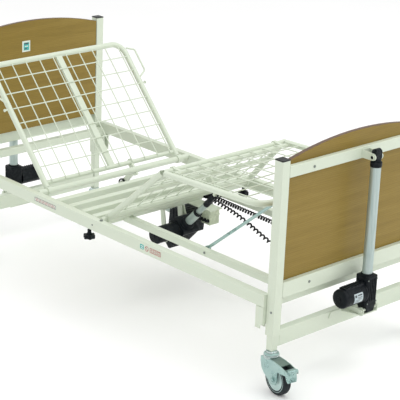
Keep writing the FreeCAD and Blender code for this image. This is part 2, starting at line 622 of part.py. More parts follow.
# ---------------------------------------------------------------- castors, upright in the room's axes
def castor(cx, cy, ang):
    """Fork with stem and hood, wheel, and brake pedal, trailing toward -Y before it is swung by ang."""
    ay, az = -TRAIL, WHEEL_R
    stem = cyl((0, 0, 150), Z, 6.0, 46.0)
    race = cyl((0, 0, 134), Z, 29.0, 18.0)
    race = race.makeFillet(5, [e for e in race.Edges if e.Curve.TypeId == "Part::GeomCircle" and abs(e.Curve.Center.z - 152) < 1e-3])
    collar = cyl((0, 0, 152), Z, 20.0, 8.0)
    low = cyl((0, 0, 128), Z, 26.0, 6.5)
    # hood: two cheeks and a crown bent over the wheel
    outl = [(33, 128), (35, 112), (28, 84), (15, 70), (0, 60), (-16, 49), (-28, 43), (-42, 41), (-54, 45), (-61, 55), (-62, 70),
            (-64, 85), (-67, 99), (-88, 99), (-120, 102), (-134, 108), (-133, 115), (-110, 122.5), (-84, 129), (-50, 134), (-10, 136), (30, 133)]
    chk = []
    for x in (-23.5, 20.5):
        chk.append(poly([(x, a, b) for a, b in outl], X, 3.0))
    crown = []
    top = [(34, 131.5), (-10, 135.5), (-50, 133.5), (-84, 127.5)]
    for (a, b), (c, d) in zip(top[:-1], top[1:]):
        crown.append(poly([(-23.5, a, b), (-23.5, c, d), (-23.5, c, d - 3), (-23.5, a, b - 3)], X, 47.0))
    back = poly([(-23.5, 34, 131), (-23.5, 35, 112), (-23.5, 29, 87), (-23.5, 26, 88), (-23.5, 32, 112), (-23.5, 31, 131)], X, 47.0)
    fork = fuse(stem, race, collar, low, *chk, *crown, back)
    axle = fuse(cyl((-20.5, ay, az), X, 5.0, 41.0))
    nuts = [cyl((-28.5, ay, az), X, 8.0, 5.0), cyl((23.5, ay, az), X, 8.0, 5.0)]
    fork = fuse(fork, axle, *nuts)
    pp = (-110.0, 112.0)
    ppin = cyl((-20.5, pp[0], pp[1]), X, 4.0, 41.0)
    fork = fuse(fork, ppin)
    # wheel: hub and tyre
    hub = cyl((-15, ay, az), X, 44.0, 30.0)
    dish = [cyl((-15.1, ay, az), X, 40.0, 4.1).cut(cyl((-15.2, ay, az), X, 15.0, 5)), cyl((11, ay, az), X, 40.0, 4.1).cut(cyl((10, ay, az), X, 15.0, 6))]
    hub = hub.cut(dish[0]).cut(dish[1])
    hub = fuse(hub, cyl((-19.5, ay, az), X, 12.0, 39.0)).cut(cyl((-25, ay, az), X, 5.07, 50.0))
    tyre = cyl((-16, ay, az), X, WHEEL_R, WHEEL_W)
    tyre = tyre.makeFillet(6.0, [e for e in tyre.Edges if e.Curve.TypeId == "Part::GeomCircle"])
    tyre = tyre.cut(cyl((-20, ay, az), X, 44.0, 40.0))
    # brake pedal
    prof = [(-104, 104), (-101, 115), (-112, 123), (-124, 126), (-134, 122), (-136, 115), (-131, 106), (-133, 91), (-131, 77), (-123, 73), (-114, 80), (-109, 92)]
    arm = poly([(-17, a, b) for a, b in prof], X, 34.0)
    pedal = fuse(arm, cyl((-19, -130, 119), X, 7.0, 38.0))
    pedal = pedal.cut(cyl((-30, pp[0], pp[1]), X, 4.06, 60.0))
    out = []
    for s in (fork, hub, tyre, pedal):
        s = rot(s, (0, 0, 0), Z, ang)
        s.translate(V(cx, cy, 0))
        out.append(s)
    return out


def tilted(p):
    t = math.radians(TILT)
    dy, z = p[1] + POST_Y, p[2]
    return (p[0], -POST_Y + dy * math.cos(t) - z * math.sin(t), dy * math.sin(t) + z * math.cos(t))


# ================================================================ write the nodes
hx = V(0, 0, -HEAD_EXT)


def down(s):
    s = s.copy()
    s.translate(hx)
    return s




def shifted(s):
    """A foot drive piece moved to where the head drive sits on its crossbar, before the half turn."""
    s = s.copy()
    s.translate(V(-HEAD_LIFT_X, 0, HEAD_DRIVE_Z))
    return s


def head_lift(s):
    """Foot lift piece to its head-end twin, set off the centreline by HEAD_LIFT_X."""
    s = turn(s)
    s.translate(V(HEAD_LIFT_X, 0, 0))
    return s


fb, fp = lift_fork_bracket()
emit("end_posts", posts() + [turn(s) for s in posts()])
emit("post_caps", caps() + [turn(s) for s in caps()])
emit("end_rails", end_rails() + [turn(s) for s in end_rails()])
emit("end_panels", [panel(), turn(panel())])
emit("lift_top_brackets", [fb, head_lift(fb), fp, head_lift(fp)])
emit("lift_rods", [lift_rod(410), head_lift(lift_rod(345)), lift_fork(), head_lift(lift_fork())])

lt = leg_tubes()
emit("foot_legs", lt)


def head_legs():
    o = []
    for sx in (-1, 1):
        cx = sx * POST_X
        leg = rhs(cx - LEG / 2, cx + LEG / 2, POST_Y - LEG / 2, POST_Y + LEG / 2, LEG_BOT, LEG_TOP, Z, 3.0, 2.0)
        plug = box(cx - 12, cx + 12, POST_Y - 12, POST_Y + 12, LEG_BOT, LEG_BOT + 34)
        hole = rot(cyl((cx, POST_Y, LEG_BOT - 40), Z, 6.07, 120), (cx, POST_Y, LEG_BOT), X, -TILT)
        o += [down(leg), down(plug.cut(hole))]
    return o


emit("head_legs", head_legs())
for end, g, f in (("foot", lambda s: s, lambda s: s), ("head", shifted, lambda s: down(turn(s)))):
    emit(end + "_leg_crossbar", [f(crossbar())])
    emit(end + "_lift_bracket", [f(g(lift_bracket()).cut(crossbar())), f(g(lift_bracket_pin()))])
    emit(end + "_lift_drive", [f(g(lift_housing())), f(g(lift_motor()))])
    emit(end + "_lift_tube", [f(g(lift_tube())), f(g(lift_ring()))])

emit("side_rails", side_rails(-RAIL_END, JOINT_Y) + side_rails(JOINT_Y, RAIL_END))
emit("rail_joiners", joiners())
emit("rail_end_brackets", end_brackets() + [turn(s) for s in end_brackets()])
emit("end_cross_members", [cross_member(), turn(cross_member())])
emit("mid_beam", [mid_beam()])
emit("seat_tubes", seat_tubes())
emit("inner_rails", inner_rails())
hb, ht = hinge_shafts()
emit("hinge_shafts", [hb, ht])
emit("frame_screws", panel_screws() + [turn(s) for s in panel_screws()] + frame_bolts() + strut_pins())
emit("actuator_hanger", [actuator_hanger()])
emit("control_box", [control_box()])

BA = (0, HB_Y, HB_Z)
emit("backrest_frame", [rot(back_frame(), BA, X, BACK_ANG)])
emit("backrest_mesh", [rot(back_mesh(), BA, X, BACK_ANG)])
emit("mattress_loops", [rot(s, BA, X, BACK_ANG) for s in back_loops()])
emit("backrest_lever", [rot(back_lever(), BA, X, BACK_ANG)])

TA = (0, HT_Y, HT_Z)
KA = (0, HT_Y - THIGH_LEN, HT_Z)
up = lambda s: rot(s, TA, X, -THIGH_ANG)
emit("thigh_frame", [up(thigh_frame().fuse(thigh_lever()).removeSplitter())])
emit("thigh_mesh", [up(thigh_mesh())])
cup = lambda s: up(rot(s, KA, X, THIGH_ANG - CALF_ANG))
emit("calf_frame", [cup(calf_frame())])
emit("calf_mesh", [cup(calf_mesh())])
emit("calf_struts", [rot(strut(sx), (0, STRUT_Y, STRUT_Z), X, -STRUT_A1) for sx in (-1, 1)])

KPV = (0, KP_Y, KP_Z)
k1 = lambda s: rot(s, KPV, X, -KP_ANG)
kc, km = drive(0, KP_Y, KP_Z, -1, -1)
emit("knee_actuator_drive", [k1(kc), k1(km)])
emit("knee_actuator_tube", [k1(act_tube(0, KP_Y, KP_Z, -1, 216))])
emit("knee_actuator_rod", [k1(act_rod(0, KP_Y, KP_Z, -1, 172, KP_LEN, 12.6))])
BPV = (BP_X, BP_Y, BP_Z)
b1 = lambda s: rot(s, BPV, X, BP_ANG)
bc, bm = drive(BP_X, BP_Y, BP_Z, 1, 1)
emit("backrest_actuator_drive", [b1(bc), b1(bm)])
emit("backrest_actuator_tube", [b1(act_tube(BP_X, BP_Y, BP_Z, 1, 330))])
emit("backrest_actuator_rod", [b1(act_rod(BP_X, BP_Y, BP_Z, 1, 300, BP_LEN, 15.0))])

emit("clamp_knob_near", [knob(-1)])
emit("clamp_knob_far", [knob(1)])

# ---------------------------------------------------------------- curly leads from the mid beam to the foot cross member
CORD_R = 10.5
UPPER = [(210, -38, 336), (210, -120, 332.5), (210, -270, 328), (210, -430, 325.5), (210, -590, 325), (210, -750, 327), (210, -875, 331.5), (210, -950, 335.5)]
LOWER = [(184, -38, 336), (184, -120, 328), (184, -250, 302), (183, -390, 254), (182, -540, 213), (182, -690, 208), (183, -810, 238), (184, -895, 287), (184, -950, 331)]


def cord(pts, name):
    rs = []
    for i in range(1, len(pts) - 1):
        a, b, c = V(*pts[i - 1]), V(*pts[i]), V(*pts[i + 1])
        ang = (b - a).getAngle(c - b)
        rs.append(0.45 * min((b - a).Length, (c - b).Length) / math.tan(ang / 2))
    w = route(pts, rs)
    s = sweep(w, pts, CORD_R)
    print(name, "length", round(w.Length, 1), "radii", [round(r) for r in rs], "volume ratio", round(s.Volume / (math.pi * CORD_R ** 2 * w.Length), 4))
    return s


def gland(p, q, face_y, r):
    """Moulded plug from the member's face to the cord's end face, in line with the cord's first run."""
    p, q = V(*p), V(*q)
    u = (p - q).normalize()
    g = Part.makeCylinder(r, 80, p, u)
    keep = box(p.x - 60, p.x + 60, min(face_y, p.y) - 20, max(face_y, p.y) + 20, 150, 500)
    if face_y > p.y:
        keep = box(p.x - 60, p.x + 60, p.y - 40, face_y, 150, 500)
    else:
        keep = box(p.x - 60, p.x + 60, face_y, p.y + 40, 150, 500)
    return g.common(keep)


emit("curly_lead_upper", [cord(UPPER, "upper")])
emit("curly_lead_lower", [cord(LOWER, "lower")])
emit("lead_plugs", [gland(UPPER[0], UPPER[1], -10.0, 10.5), gland(LOWER[0], LOWER[1], -10.0, 10.5),
                    gland(UPPER[-1], UPPER[-2], -975.0, 10.5), gland(LOWER[-1], LOWER[-2], -975.0, 10.5)])

# ---------------------------------------------------------------- castors
for nm, x, y, z, a in (("foot_near", -POST_X, -POST_Y, LEG_BOT, -9.0), ("foot_far", POST_X, -POST_Y, LEG_BOT, -5.0),
                       ("head_near", -POST_X, POST_Y, LEG_BOT - HEAD_EXT, 4.0), ("head_far", POST_X, POST_Y, LEG_BOT - HEAD_EXT, -9.0)):
    w = tilted((x, y, z))
    fk, hub, tyre, pedal = castor(w[0], w[1], a)
    print("castor", nm, [round(c, 3) for c in w])
    emit("castor_%s_fork" % nm, [fk], False)
    emit("castor_%s_wheel" % nm, [hub, tyre], False)
    emit("castor_%s_pedal" % nm, [pedal], False)
print(len([f for f in os.listdir("parts") if f.endswith(".step")]), "files, tilt", TILT)
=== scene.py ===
import bpy, bmesh, math, json
from mathutils import Vector, Matrix, noise
import random

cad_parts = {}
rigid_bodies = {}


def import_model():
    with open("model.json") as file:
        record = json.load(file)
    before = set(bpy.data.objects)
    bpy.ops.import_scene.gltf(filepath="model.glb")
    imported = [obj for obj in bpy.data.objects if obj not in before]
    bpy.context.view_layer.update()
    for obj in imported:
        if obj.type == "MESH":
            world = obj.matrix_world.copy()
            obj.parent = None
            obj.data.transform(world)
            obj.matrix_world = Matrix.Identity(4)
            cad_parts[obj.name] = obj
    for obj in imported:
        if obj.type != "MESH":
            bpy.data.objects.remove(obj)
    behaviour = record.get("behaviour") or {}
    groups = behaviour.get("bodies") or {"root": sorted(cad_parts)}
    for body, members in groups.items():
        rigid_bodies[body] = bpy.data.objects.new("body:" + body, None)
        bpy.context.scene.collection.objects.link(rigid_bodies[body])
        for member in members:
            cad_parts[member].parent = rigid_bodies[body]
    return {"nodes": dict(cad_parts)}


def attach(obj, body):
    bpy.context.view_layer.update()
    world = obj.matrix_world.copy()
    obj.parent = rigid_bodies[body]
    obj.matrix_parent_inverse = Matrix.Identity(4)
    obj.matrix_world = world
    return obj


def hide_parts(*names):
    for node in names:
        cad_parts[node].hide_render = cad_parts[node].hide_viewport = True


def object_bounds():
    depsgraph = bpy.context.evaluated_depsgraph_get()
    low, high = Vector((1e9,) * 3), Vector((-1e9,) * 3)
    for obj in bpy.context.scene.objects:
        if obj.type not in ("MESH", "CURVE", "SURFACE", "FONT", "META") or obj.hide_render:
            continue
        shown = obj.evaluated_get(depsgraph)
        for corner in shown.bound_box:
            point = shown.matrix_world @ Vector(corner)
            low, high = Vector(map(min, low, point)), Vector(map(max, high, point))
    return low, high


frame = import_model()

CAD_LO, CAD_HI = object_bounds()
rnd = random.Random(7)

# ------------------------------------------------------------------ bed axes to the row frame
TILT = math.atan(125.0 / 2050.0)
OY = 0.024169
ROT = Matrix.Rotation(TILT, 4, 'X')
PIV = Vector((0, -1.025, 0))
BED = Matrix.Translation(Vector((0, OY, 0))) @ Matrix.Translation(PIV) @ ROT @ Matrix.Translation(-PIV)


def W(x, y, z):
    """Bed axes in mm to the row frame in metres."""
    return BED @ Vector((x / 1000.0, y / 1000.0, z / 1000.0))


def Rx(deg, y, z):
    """Turn about +X through (y, z), all in bed axes, mm; returned as a matrix that acts in metres."""
    p = Vector((0, y / 1000.0, z / 1000.0))
    return Matrix.Translation(p) @ Matrix.Rotation(math.radians(deg), 4, 'X') @ Matrix.Translation(-p)


BACK = BED @ Rx(46.9, 372, 368)
THIGH = BED @ Rx(-44.35, -45, 372)
CALF = THIGH @ Rx(44.35 - 2.4, -417, 372)
KNEE_ACT = BED @ Rx(-46.21, -18, 196)
BACK_ACT = BED @ Rx(5.68, -30, 240)

# ------------------------------------------------------------------ camera
yaw, pitch, roll = math.radians(43.66), math.radians(-19.75), math.radians(-2.39)
F = Vector((math.sin(yaw) * math.cos(pitch), math.cos(yaw) * math.cos(pitch), math.sin(pitch)))
right = Vector((math.cos(yaw), -math.sin(yaw), 0))
down = F.cross(right)
R = math.cos(roll) * right + math.sin(roll) * down
D = -math.sin(roll) * right + math.cos(roll) * down
cm = Matrix(((R.x, -D.x, -F.x, 0), (R.y, -D.y, -F.y, 0), (R.z, -D.z, -F.z, 0), (0, 0, 0, 1)))
cam_data = bpy.data.cameras.new("camera")
cam = bpy.data.objects.new("camera", cam_data)
bpy.context.collection.objects.link(cam)
cam_data.sensor_width = 36.0
cam_data.lens = 36.0 * 1552.44 / 400.0
cam_data.clip_start, cam_data.clip_end = 0.1, 100.0
cam.matrix_world = BED @ Matrix.Translation(Vector((-4.19921, -4.57257, 2.58976))) @ cm
bpy.context.scene.camera = cam


# ------------------------------------------------------------------ node helpers
class Mat:
    def __init__(self, name):
        self.m = bpy.data.materials.new(name)
        self.m.use_nodes = True
        self.nt = self.m.node_tree
        self.nt.nodes.clear()
        self.out = self.n("ShaderNodeOutputMaterial")
        self.b = self.n("ShaderNodeBsdfPrincipled")
        self.l(self.b.outputs[0], self.out.inputs[0])
        self.co = self.n("ShaderNodeTexCoord")

    def n(self, kind, **k):
        o = self.nt.nodes.new(kind)
        for a, v in k.items():
            setattr(o, a, v)
        return o

    def l(self, a, b):
        self.nt.links.new(a, b)

    def s(self, **k):
        for a, v in k.items():
            self.b.inputs[a.replace("_", " ")].default_value = v
        return self

    def mapped(self, scale=(1, 1, 1), rot=(0, 0, 0), loc=(0, 0, 0)):
        m = self.n("ShaderNodeMapping")
        m.inputs["Scale"].default_value = scale
        m.inputs["Rotation"].default_value = rot
        m.inputs["Location"].default_value = loc
        self.l(self.co.outputs["Object"], m.inputs["Vector"])
        return m.outputs[0]

    def noise(self, scale, detail=4.0, rough=0.55, vec=None, dist=0.0):
        t = self.n("ShaderNodeTexNoise")
        t.inputs["Scale"].default_value = scale
        t.inputs["Detail"].default_value = detail
        t.inputs["Roughness"].default_value = rough
        t.inputs["Distortion"].default_value = dist
        self.l(vec if vec is not None else self.co.outputs["Object"], t.inputs["Vector"])
        return t.outputs["Fac"]

    def ramp(self, fac, stops):
        r = self.n("ShaderNodeValToRGB")
        e = r.color_ramp.elements
        while len(e) < len(stops):
            e.new(0.5)
        for i, (p, c) in enumerate(stops):
            e[i].position = p
            e[i].color = c if len(c) == 4 else (*c, 1)
        self.l(fac, r.inputs[0])
        return r.outputs[0]

    def rng(self, fac, lo, hi, a=0.0, b=1.0):
        r = self.n("ShaderNodeMapRange")
        r.inputs["From Min"].default_value = a
        r.inputs["From Max"].default_value = b
        r.inputs["To Min"].default_value = lo
        r.inputs["To Max"].default_value = hi
        self.l(fac, r.inputs["Value"])
        return r.outputs[0]

    def mix(self, fac, a, b, mode='MIX'):
        m = self.n("ShaderNodeMix", data_type='RGBA', blend_type=mode)
        if hasattr(fac, "links") or hasattr(fac, "is_linked"):
            self.l(fac, m.inputs[0])
        else:
            m.inputs[0].default_value = fac
        for v, i in ((a, 6), (b, 7)):
            if hasattr(v, "is_linked"):
                self.l(v, m.inputs[i])
            else:
                m.inputs[i].default_value = v if len(v) == 4 else (*v, 1)
        return m.outputs[2]

    def bump(self, h, strength, dist, prev=None):
        b = self.n("ShaderNodeBump")
        b.inputs["Strength"].default_value = strength
        b.inputs["Distance"].default_value = dist
        self.l(h, b.inputs["Height"])
        if prev is not None:
            self.l(prev, b.inputs["Normal"])
        return b.outputs[0]

    def color(self, c):
        self.l(c, self.b.inputs["Base Color"])
        return self

    def rough(self, r):
        self.l(r, self.b.inputs["Roughness"])
        return self

    def normal(self, n):
        self.l(n, self.b.inputs["Normal"])
        return self


def edge_wear(M, base, worn, amount=0.5, scale=60.0):
    """Lighter rubbed colour on convex edges, broken up by noise."""
    g = M.n("ShaderNodeNewGeometry")
    p = M.rng(g.outputs["Pointiness"], 0.0, 1.0, 0.52, 0.60)
    nz = M.rng(M.noise(scale, 3.0), 0.0, 1.0, 0.45, 0.62)
    mul = M.n("ShaderNodeMath", operation='MULTIPLY')
    M.l(p, mul.inputs[0]); M.l(nz, mul.inputs[1])
    m2 = M.n("ShaderNodeMath", operation='MULTIPLY')
    M.l(mul.outputs[0], m2.inputs[0]); m2.inputs[1].default_value = amount
    return M.mix(m2.outputs[0], base, worn)


def paint():
    M = Mat("cream_paint")
    n1 = M.noise(3.0, 3.0)
    c = M.mix(M.rng(n1, 0, 1, 0.3, 0.7), (0.590, 0.652, 0.530), (0.606, 0.668, 0.548))
    n2 = M.noise(26.0, 6.0, 0.7)
    c = M.mix(M.rng(n2, 0, 0.16, 0.66, 0.84), c, (0.50, 0.54, 0.42))
    M.color(edge_wear(M, c, (0.70, 0.75, 0.64), 0.12, 220.0))
    M.rough(M.rng(M.noise(12.0, 4.0), 0.33, 0.40, 0.3, 0.7))
    peel = M.noise(420.0, 2.0, 0.5)
    M.normal(M.bump(peel, 0.08, 0.0005))
    M.s(Coat_Weight=0.2, Coat_Roughness=0.15, Specular_IOR_Level=0.45)
    return M.m


def wood():
    M = Mat("wood_board")
    fig = M.noise(2.2, 7.0, 0.66, M.mapped((1.0, 4.0, 14.0)), 0.5)
    c = M.ramp(fig, [(0.25, (0.205, 0.136, 0.022)), (0.45, (0.245, 0.167, 0.029)), (0.60, (0.272, 0.189, 0.036)), (0.80, (0.300, 0.212, 0.046))])
    wv = M.n("ShaderNodeTexWave", wave_type='BANDS', bands_direction='Z')
    wv.inputs["Scale"].default_value = 26.0
    wv.inputs["Distortion"].default_value = 7.0
    wv.inputs["Detail"].default_value = 4.0
    wv.inputs["Detail Scale"].default_value = 0.9
    M.l(M.mapped((0.22, 1.0, 1.6)), wv.inputs["Vector"])
    c = M.mix(M.rng(wv.outputs["Fac"], 0.0, 0.30, 0.45, 1.0), c, (0.175, 0.112, 0.026))
    fib = M.noise(60.0, 3.0, 0.7, M.mapped((0.9, 20.0, 22.0)))
    c = M.mix(M.rng(fib, 0.0, 0.45, 0.52, 0.74), c, (0.150, 0.094, 0.022))
    M.color(c)
    M.rough(M.rng(fib, 0.36, 0.52))
    M.normal(M.bump(fib, 0.10, 0.0003))
    M.s(Coat_Weight=0.06, Coat_Roughness=0.3, Specular_IOR_Level=0.25)
    return M.m


def edging():
    M = Mat("wood_edging")
    n = M.noise(8.0, 5.0, 0.6, M.mapped((3.0, 20.0, 20.0)))
    M.color(M.ramp(n, [(0.3, (0.070, 0.034, 0.016)), (0.7, (0.125, 0.066, 0.032))]))
    M.rough(M.rng(n, 0.35, 0.5))
    M.normal(M.bump(n, 0.1, 0.0003))
    return M.m


def label(name, a, b):
    """Printed film: slight mottling and a soft sheen."""
    M = Mat(name)
    M.color(M.mix(M.rng(M.noise(60.0, 3.0), 0, 1, 0.35, 0.65), a, b))
    M.rough(M.rng(M.noise(25.0, 2.0), 0.3, 0.45))
    M.normal(M.bump(M.noise(300.0, 2.0), 0.05, 0.0002))
    return M.m


def plastic(name, a, b, r=(0.34, 0.5), grain=900.0, g=0.18, spec=0.5):
    M = Mat(name)
    n = M.noise(9.0, 4.0)
    c = M.mix(M.rng(n, 0, 1, 0.35, 0.65), a, b)
    M.color(edge_wear(M, c, tuple(min(1, 1.6 * x + 0.03) for x in b), 0.5, 80.0))
    M.rough(M.rng(M.noise(30.0, 3.0), r[0], r[1], 0.3, 0.7))
    M.normal(M.bump(M.noise(grain, 2.0, 0.6), g, 0.0004))
    M.s(Specular_IOR_Level=spec)
    return M.m


def metal(name, a, b, r=(0.22, 0.38), brush=None, tarnish=None, met=1.0):
    M = Mat(name)
    v = M.mapped(brush) if brush else None
    n = M.noise(60.0 if brush else 14.0, 4.0, 0.6, v)
    c = M.mix(M.rng(n, 0, 1, 0.35, 0.65), a, b)
    if tarnish:
        c = M.mix(M.rng(M.noise(7.0, 5.0, 0.65), 0.0, 0.45, 0.55, 0.75), c, tarnish)
    M.color(c)
    M.rough(M.rng(n, r[0], r[1], 0.3, 0.7))
    M.normal(M.bump(M.noise(700.0, 2.0, 0.5), 0.03, 0.0001))
    M.s(Metallic=met)
    return M.m


def tyre_mat():
    M = Mat("tyre_rubber")
    n = M.noise(18.0, 5.0, 0.65)
    c = M.ramp(n, [(0.3, (0.008, 0.011, 0.014)), (0.55, (0.016, 0.021, 0.025)), (0.8, (0.040, 0.046, 0.050))])
    M.color(c)
    M.rough(M.rng(n, 0.55, 0.8))
    M.normal(M.bump(M.noise(500.0, 3.0), 0.25, 0.0004))
    M.s(Specular_IOR_Level=0.25)
    return M.m


PAINT = paint()
WOOD = wood()
EDGE = edging()
BLACK = plastic("black_plastic", (0.0035, 0.0055, 0.0075), (0.0075, 0.0105, 0.0135), (0.36, 0.50), 900.0, 0.18, 0.13)
CAPBLK = plastic("cap_plastic", (0.005, 0.006, 0.007), (0.011, 0.012, 0.013), (0.34, 0.46), 900.0, 0.18, 0.3)
BOXGR = plastic("box_plastic", (0.42, 0.48, 0.34), (0.50, 0.56, 0.42), (0.4, 0.55))
ALU = metal("satin_aluminium", (0.36, 0.45, 0.43), (0.50, 0.58, 0.56), (0.34, 0.46), (1.5, 1.5, 0.08), (0.30, 0.37, 0.34), 0.55)
TUBEGR = metal("tube_grey_green", (0.30, 0.38, 0.35), (0.40, 0.47, 0.43), (0.36, 0.50), (1.5, 0.3, 0.3), (0.26, 0.32, 0.28), 0.45)
STEEL = metal("bright_steel", (0.55, 0.60, 0.60), (0.68, 0.72, 0.71), (0.26, 0.34), (3.0, 3.0, 0.06), None, 0.7)
ZINC = metal("zinc_plate", (0.30, 0.45, 0.43), (0.42, 0.57, 0.54), (0.24, 0.36), None, (0.22, 0.32, 0.29), 0.62)
CHROME = metal("chrome_plate", (0.30, 0.38, 0.36), (0.72, 0.78, 0.78), (0.08, 0.18), None, (0.12, 0.18, 0.16), 0.9)
# darker copy of the zinc plate: painted shade for the faces inside the castor forks
ZINC_PAINTED_SHADE = metal("zinc_painted_shade", (0.13, 0.19, 0.17), (0.22, 0.29, 0.26), (0.34, 0.48), None, (0.08, 0.11, 0.10), 0.5)
# lighter copy of the zinc plate for the wheel hubs: painted light, lifting hubs that sit in shade
HUB_ZINC_PAINTED_LIGHT = metal("hub_zinc_painted_light", (0.46, 0.62, 0.60), (0.56, 0.70, 0.67), (0.30, 0.42), None, (0.34, 0.46, 0.43), 0.35)
BOLT = metal("bolt_zinc", (0.17, 0.20, 0.18), (0.25, 0.28, 0.26), (0.30, 0.42), None, (0.10, 0.12, 0.11), 0.6)
TYRE = tyre_mat()
RUBBER = plastic("lead_rubber", (0.004, 0.005, 0.006), (0.008, 0.009, 0.010), (0.45, 0.60), 700.0, 0.1, 0.15)
SILVER = label("label_silver", (0.42, 0.50, 0.52), (0.52, 0.60, 0.61))
PALE = label("label_pale", (0.62, 0.70, 0.62), (0.70, 0.76, 0.69))
RED = label("label_red", (0.33, 0.045, 0.05), (0.42, 0.07, 0.07))
TEAL = label("label_teal", (0.03, 0.36, 0.34), (0.05, 0.44, 0.41))
INK = label("label_ink", (0.05, 0.06, 0.07), (0.09, 0.10, 0.11))


def put(node, *mats):
    o = bpy.data.objects[node]
    o.data.materials.clear()
    for m in mats:
        o.data.materials.append(m)
    return o


NODES = list(frame["nodes"])
for n in NODES:
    m = PAINT
    if n == "end_panels": m = WOOD
    elif n == "post_caps": m = CAPBLK
    elif n == "frame_screws": m = BOLT
    elif n in ("calf_struts", "rail_joiners"): m = ZINC
    elif n == "lift_rods": m = STEEL
    elif n == "control_box": m = BOXGR
    elif n.endswith("_drive") or n.startswith("clamp_knob"): m = BLACK
    elif n.endswith("lift_tube"): m = ALU
    elif n.endswith("actuator_tube"): m = TUBEGR
    elif n.endswith("actuator_rod"): m = BLACK
    elif n.startswith("curly") or n == "lead_plugs": m = RUBBER
    elif n.endswith("_wheel"): m = TYRE
    elif n.endswith("_fork") or n.endswith("_pedal"): m = ZINC
    put(n, m)



def split_faces(node, mats, pick):
    """Material per face of a CAD node: pick(centre, normal) in bed axes (mm) gives the slot index."""
    o = put(node, *mats)
    inv = BED.inverted()
    r3 = inv.to_3x3()
    for f in o.data.polygons:
        f.material_index = pick(inv @ f.center * 1000.0, r3 @ f.normal)
    return o


# boards: wood on the two faces, dark edging band round the arch and the sides
def board_pick(c, n):
    return 0 if abs(n.y) > 0.7 else 1


split_faces("end_panels", (WOOD, EDGE), board_pick)
split_faces("lift_rods", (STEEL, BLACK), lambda c, n: 1 if (c.z > 826.5 if c.y < 0 else c.z > 826.5) else 0)
for _n in ("foot_lift_tube", "head_lift_tube"):
    _z, _x = (809.5, 0.0) if _n[0] == "f" else (646.5, -20.0)
    split_faces(_n, (ALU, BLACK), lambda c, n, z=_z, x=_x: 1 if c.z > z and ((c.x - x) ** 2 + (abs(c.y) - 1099.0) ** 2) > 20.3 ** 2 else 0)

# ------------------------------------------------------------------ mesh helpers
def obj(name, me, mat, body):
    o = bpy.data.objects.new(name, me)
    bpy.context.collection.objects.link(o)
    for m in (mat if isinstance(mat, (list, tuple)) else [mat]):
        me.materials.append(m)
    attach(o, body)
    return o


def from_bm(name, bm, mat, body, smooth=True, sharp=32):
    bmesh.ops.remove_doubles(bm, verts=bm.verts, dist=1e-6)
    bmesh.ops.recalc_face_normals(bm, faces=bm.faces)
    me = bpy.data.meshes.new(name)
    bm.to_mesh(me)
    bm.free()
    if smooth:
        for f in me.polygons:
            f.use_smooth = True
        me.set_sharp_from_angle(angle=math.radians(sharp))
    return obj(name, me, mat, body)


def T(m, p):
    return m @ Vector((p[0] / 1000.0, p[1] / 1000.0, p[2] / 1000.0))


def ring_verts(bm, m, c, u, v, r, n, ru=None):
    c, u, v = Vector(c), Vector(u), Vector(v)
    return [bm.verts.new(T(m, c + u * (r * math.cos(2 * math.pi * k / n)) + v * ((ru or r) * math.sin(2 * math.pi * k / n)))) for k in range(n)]


def bridge(bm, a, b, mi=0):
    n = len(a)
    for k in range(n):
        f = bm.faces.new((a[k], a[(k + 1) % n], b[(k + 1) % n], b[k]))
        f.material_index = mi


def axes_for(d):
    d = Vector(d).normalized()
    u = d.orthogonal().normalized()
    return d, u, d.cross(u)


def lathe(bm, m, c, d, prof, n=40, mi=0, close=False):
    """Turned shape: prof is [(distance along d, radius)], from centre c; ends are capped."""
    d, u, v = axes_for(d)
    c = Vector(c)
    prev = None
    first = None
    for s, r in prof:
        cur = ring_verts(bm, m, c + d * s, u, v, max(r, 0.01), n)
        if prev is None:
            first = cur
        else:
            bridge(bm, prev, cur, mi)
        prev = cur
    if close:
        bridge(bm, prev, first, mi)
    else:
        f = bm.faces.new(prev); f.material_index = mi
        f = bm.faces.new(list(reversed(first))); f.material_index = mi


def block(bm, m, x0, x1, y0, y1, z0, z1, r=0.0, seg=3, mi=0):
    """Box with all its edges rounded."""
    b2 = bmesh.new()
    bmesh.ops.create_cube(b2, size=1.0)
    for v in b2.verts:
        v.co = Vector(((x0 + x1) / 2 + v.co.x * (x1 - x0), (y0 + y1) / 2 + v.co.y * (y1 - y0), (z0 + z1) / 2 + v.co.z * (z1 - z0)))
    if r > 0:
        bmesh.ops.bevel(b2, geom=b2.edges[:], offset=r, segments=seg, affect='EDGES', profile=0.5)
    vs = {}
    for v in b2.verts:
        vs[v] = bm.verts.new(T(m, v.co))
    for f in b2.faces:
        try:
            g = bm.faces.new([vs[v] for v in f.verts]); g.material_index = mi
        except ValueError:
            pass
    b2.free()


def prism(bm, m, pts, axis, a0, a1, r=0.0, seg=2, mi=0):
    """Outline extruded along an axis ('x', 'y' or 'z'); pts are the other two coordinates in order; rim edges rounded."""
    b2 = bmesh.new()
    def P(p, a):
        if axis == 'x': return Vector((a, p[0], p[1]))
        if axis == 'y': return Vector((p[0], a, p[1]))
        return Vector((p[0], p[1], a))
    lo = [b2.verts.new(P(p, a0)) for p in pts]
    hi = [b2.verts.new(P(p, a1)) for p in pts]
    f0 = b2.faces.new(lo); f1 = b2.faces.new(list(reversed(hi)))
    for k in range(len(pts)):
        j = (k + 1) % len(pts)
        b2.faces.new((lo[k], hi[k], hi[j], lo[j]))
    bmesh.ops.recalc_face_normals(b2, faces=b2.faces)
    if r > 0:
        rim = [e for e in b2.edges if f0 in e.link_faces or f1 in e.link_faces]
        bmesh.ops.bevel(b2, geom=rim, offset=r, segments=seg, affect='EDGES', profile=0.5)
    vs = {v: bm.verts.new(T(m, v.co)) for v in b2.verts}
    for f in b2.faces:
        g = bm.faces.new([vs[v] for v in f.verts]); g.material_index = mi
    b2.free()


